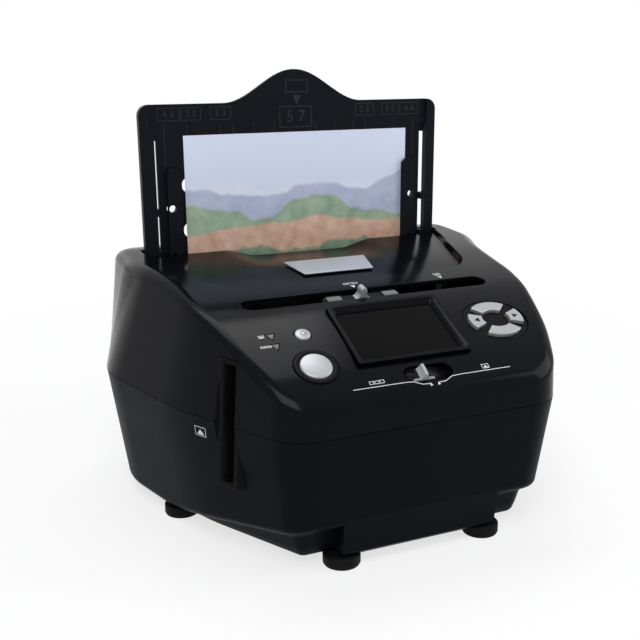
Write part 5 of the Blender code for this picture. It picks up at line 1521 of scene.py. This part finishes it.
def make_badge(looks):
    def floor_height(y):
        return top_height(y) - dish_floor_depth(y)
    low, high = BADGE_Y - BADGE_LENGTH / 2, BADGE_Y + BADGE_LENGTH / 2
    tilt = atan((floor_height(high) - floor_height(low)) / BADGE_LENGTH)
    middle = max(floor_height(BADGE_Y), (floor_height(high) + floor_height(low)) / 2)
    half = BADGE_LENGTH / 2
    points = ((-BADGE_FOOT_WIDTH / 2, -half), (BADGE_FOOT_WIDTH / 2, -half),
              (BADGE_TOP_WIDTH / 2, half), (-BADGE_TOP_WIDTH / 2, half))
    matrix = at(0, BADGE_Y, middle + GAP) @ turn(tilt)
    remake("badge_plate", "housing", prism(points, GAP, BADGE_THICKNESS), looks["badge"],
           matrix, edges=(SOFT_EDGE,))


# Frame pieces that keep their solids

def dress_solids(looks):
    wear = {"inside": ("camera_bracket", "dc_jack", "film_channel", "lens_barrel",
                       "lens_carriage", "rod_pillar_left", "rod_pillar_right", "slider_arm",
                       "tray_channel_left", "tray_channel_right"),
            "board": ("io_board", "key_board_left", "key_board_right", "main_board",
                      "sensor_board"),
            "white": ("light_diffuser", "light_panel", "photo_lamp_left", "photo_lamp_right",
                      "tray_backing"),
            "lens": ("front_lens",), "glass": ("lcd_glass",), "switch": ("lens_switch",),
            "picture": ("photo_print",)}
    worn = {node: look for look, nodes in wear.items() for node in nodes}
    for name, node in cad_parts.items():
        for slot in node.material_slots:
            slot.material = looks[worn.get(name, "steel")]


# Floor, light, camera

def background_rays(look):
    """1 for the rays that are to see the white background."""
    path = look.nodes.new("ShaderNodeLightPath")
    total = path.outputs["Is Camera Ray"]
    for word in ("Is Glossy Ray", "Is Transmission Ray"):
        total = look.math("ADD", total, path.outputs[word], clamp=True)
    return total


def make_stage():
    floor_mesh = bmesh.new()
    bmesh.ops.create_grid(floor_mesh, x_segments=1, y_segments=1, size=FLOOR_SIZE)
    look = material("floor")
    look.shade({"Base Color": FLOOR_COLOUR, "Roughness": 0.9})
    away = look.add("VectorMath", {0: look.where()}, "Value", operation="LENGTH")
    share = look.add("MapRange", {"Value": away, "From Min": GLOW_REACH[0],
                                  "From Max": GLOW_REACH[1], "To Min": GLOW_NEAR}, "Result",
                     interpolation_type="SMOOTHSTEP")
    seen = look.math("MULTIPLY", background_rays(look), share)
    glow = look.add("Emission", {"Strength": 1.0}, "Emission")
    plain = look.nodes["Principled BSDF"].outputs["BSDF"]
    look.fill(look.nodes["Material Output"],
              {"Surface": look.add("MixShader", {0: seen, 1: plain, 2: glow}, "Shader")})
    floor = place("floor", floor_mesh, look.made)

    world = bpy.data.worlds.new("studio")
    bpy.context.scene.world = world
    look = Look(world)
    colour = look.add("Mix", {"Factor": background_rays(look), "A": SURROUNDINGS,
                              "B": (1.0, 1.0, 1.0, 1.0)}, "Result", data_type="RGBA")
    look.fill(look.nodes["Background"], {"Color": colour, "Strength": 1.0})


def make_lights():
    for name, spot, size, power in LIGHTS:
        data = bpy.data.lights.new(name, "AREA")
        data.shape = "RECTANGLE"
        data.size, data.size_y = size
        data.energy = power
        lamp = stand(name, data)
        lamp.location = spot
        way = Vector(LIGHT_TARGET) - Vector(spot)
        lamp.rotation_euler = way.to_track_quat("-Z", "Y").to_euler()


def make_camera():
    data = bpy.data.cameras.new("camera")
    data.sensor_width = CAMERA_SENSOR
    data.lens = CAMERA_LENS
    data.clip_start = CAMERA_CLIP
    camera = stand("camera", data)
    matrix = at(*CAMERA_PLACE)
    for angle, axis in CAMERA_TURNS:
        matrix = matrix @ turn(radians(angle), axis)
    camera.matrix_world = matrix
    bpy.context.scene.camera = camera


def make_looks():
    return {
        "piano": finish("piano_black", (0.0020, 0.0023, 0.0036), 0.16, grain=900,
                        depth=0.00001, strength=0.05, specular=0.07),
        "base": finish("satin_black", (0.0030, 0.0037, 0.0058), 0.42, grain=2600,
                       depth=0.00003, strength=0.3, specular=0.04),
        # Also worn by the slider's plate, where its dark is painted shade.
        "frame": finish("dark_frame", DARK_FRAME, 0.35, specular=0.06),
        "bezel": finish("bezel_black", (0.0020, 0.0022, 0.0030), 0.12, strength=0.03,
                        specular=0.07),
        "inside": finish("inside_black", (0.012, 0.012, 0.013), 0.55),
        "tray": finish("tray_grey", (0.0058, 0.0066, 0.0095), 0.42, grain=2600,
                       depth=0.00003, strength=0.3, specular=0.06),
        # Embossed marks in the tray's own plastic, made lighter than the tray as a painted
        # highlight.
        "painted_highlight_tray_mark": finish("painted_highlight_tray_mark", (0.0190, 0.0200, 0.0250), 0.45, specular=0.14),
        "silver": finish("satin_silver", SILVER, 0.30, tint=0.05, strength=0.08, metallic=0.35),
        "switch": switch_look(),
        "badge": brushed("badge_silver", (0.56, 0.57, 0.60), 0.32),
        "steel": brushed("steel", (0.55, 0.56, 0.58), 0.30, 1.0),
        "glass": finish("screen_glass", (0.0010, 0.0011, 0.0014), 0.06, strength=0.01,
                        specular=0.05),
        "lens": finish("lens_glass", (0.020, 0.026, 0.050), 0.04, strength=0.01, coat=0.5),
        "indicator": finish("indicator", (0.006, 0.007, 0.006), 0.25),
        "marking": finish("marking_white", (0.60, 0.60, 0.60), 0.5, tint=0.05),
        "white": finish("white_plastic", (0.72, 0.72, 0.71), 0.5, tint=0.04),
        "rubber": finish("rubber", (0.0050, 0.0050, 0.0055), 0.7, grain=1500, depth=0.00005,
                         strength=0.4, specular=0.10),
        "board": board_look(),
        "picture": picture_look(),
    }


def main():
    looks = make_looks()
    dress_solids(looks)
    make_cover(looks)
    make_base(looks)
    make_film_frames(looks)
    make_screen(looks)
    make_buttons(looks)
    make_slider(looks)
    make_lens_switch(looks)
    make_marks(looks)
    make_tray(looks)
    make_tray_marks(looks)
    make_guides(looks)
    make_feet(looks)
    make_badge(looks)
    make_stage()
    make_lights()
    make_camera()
    scene = bpy.context.scene
    scene.view_settings.view_transform = "Standard"


main()
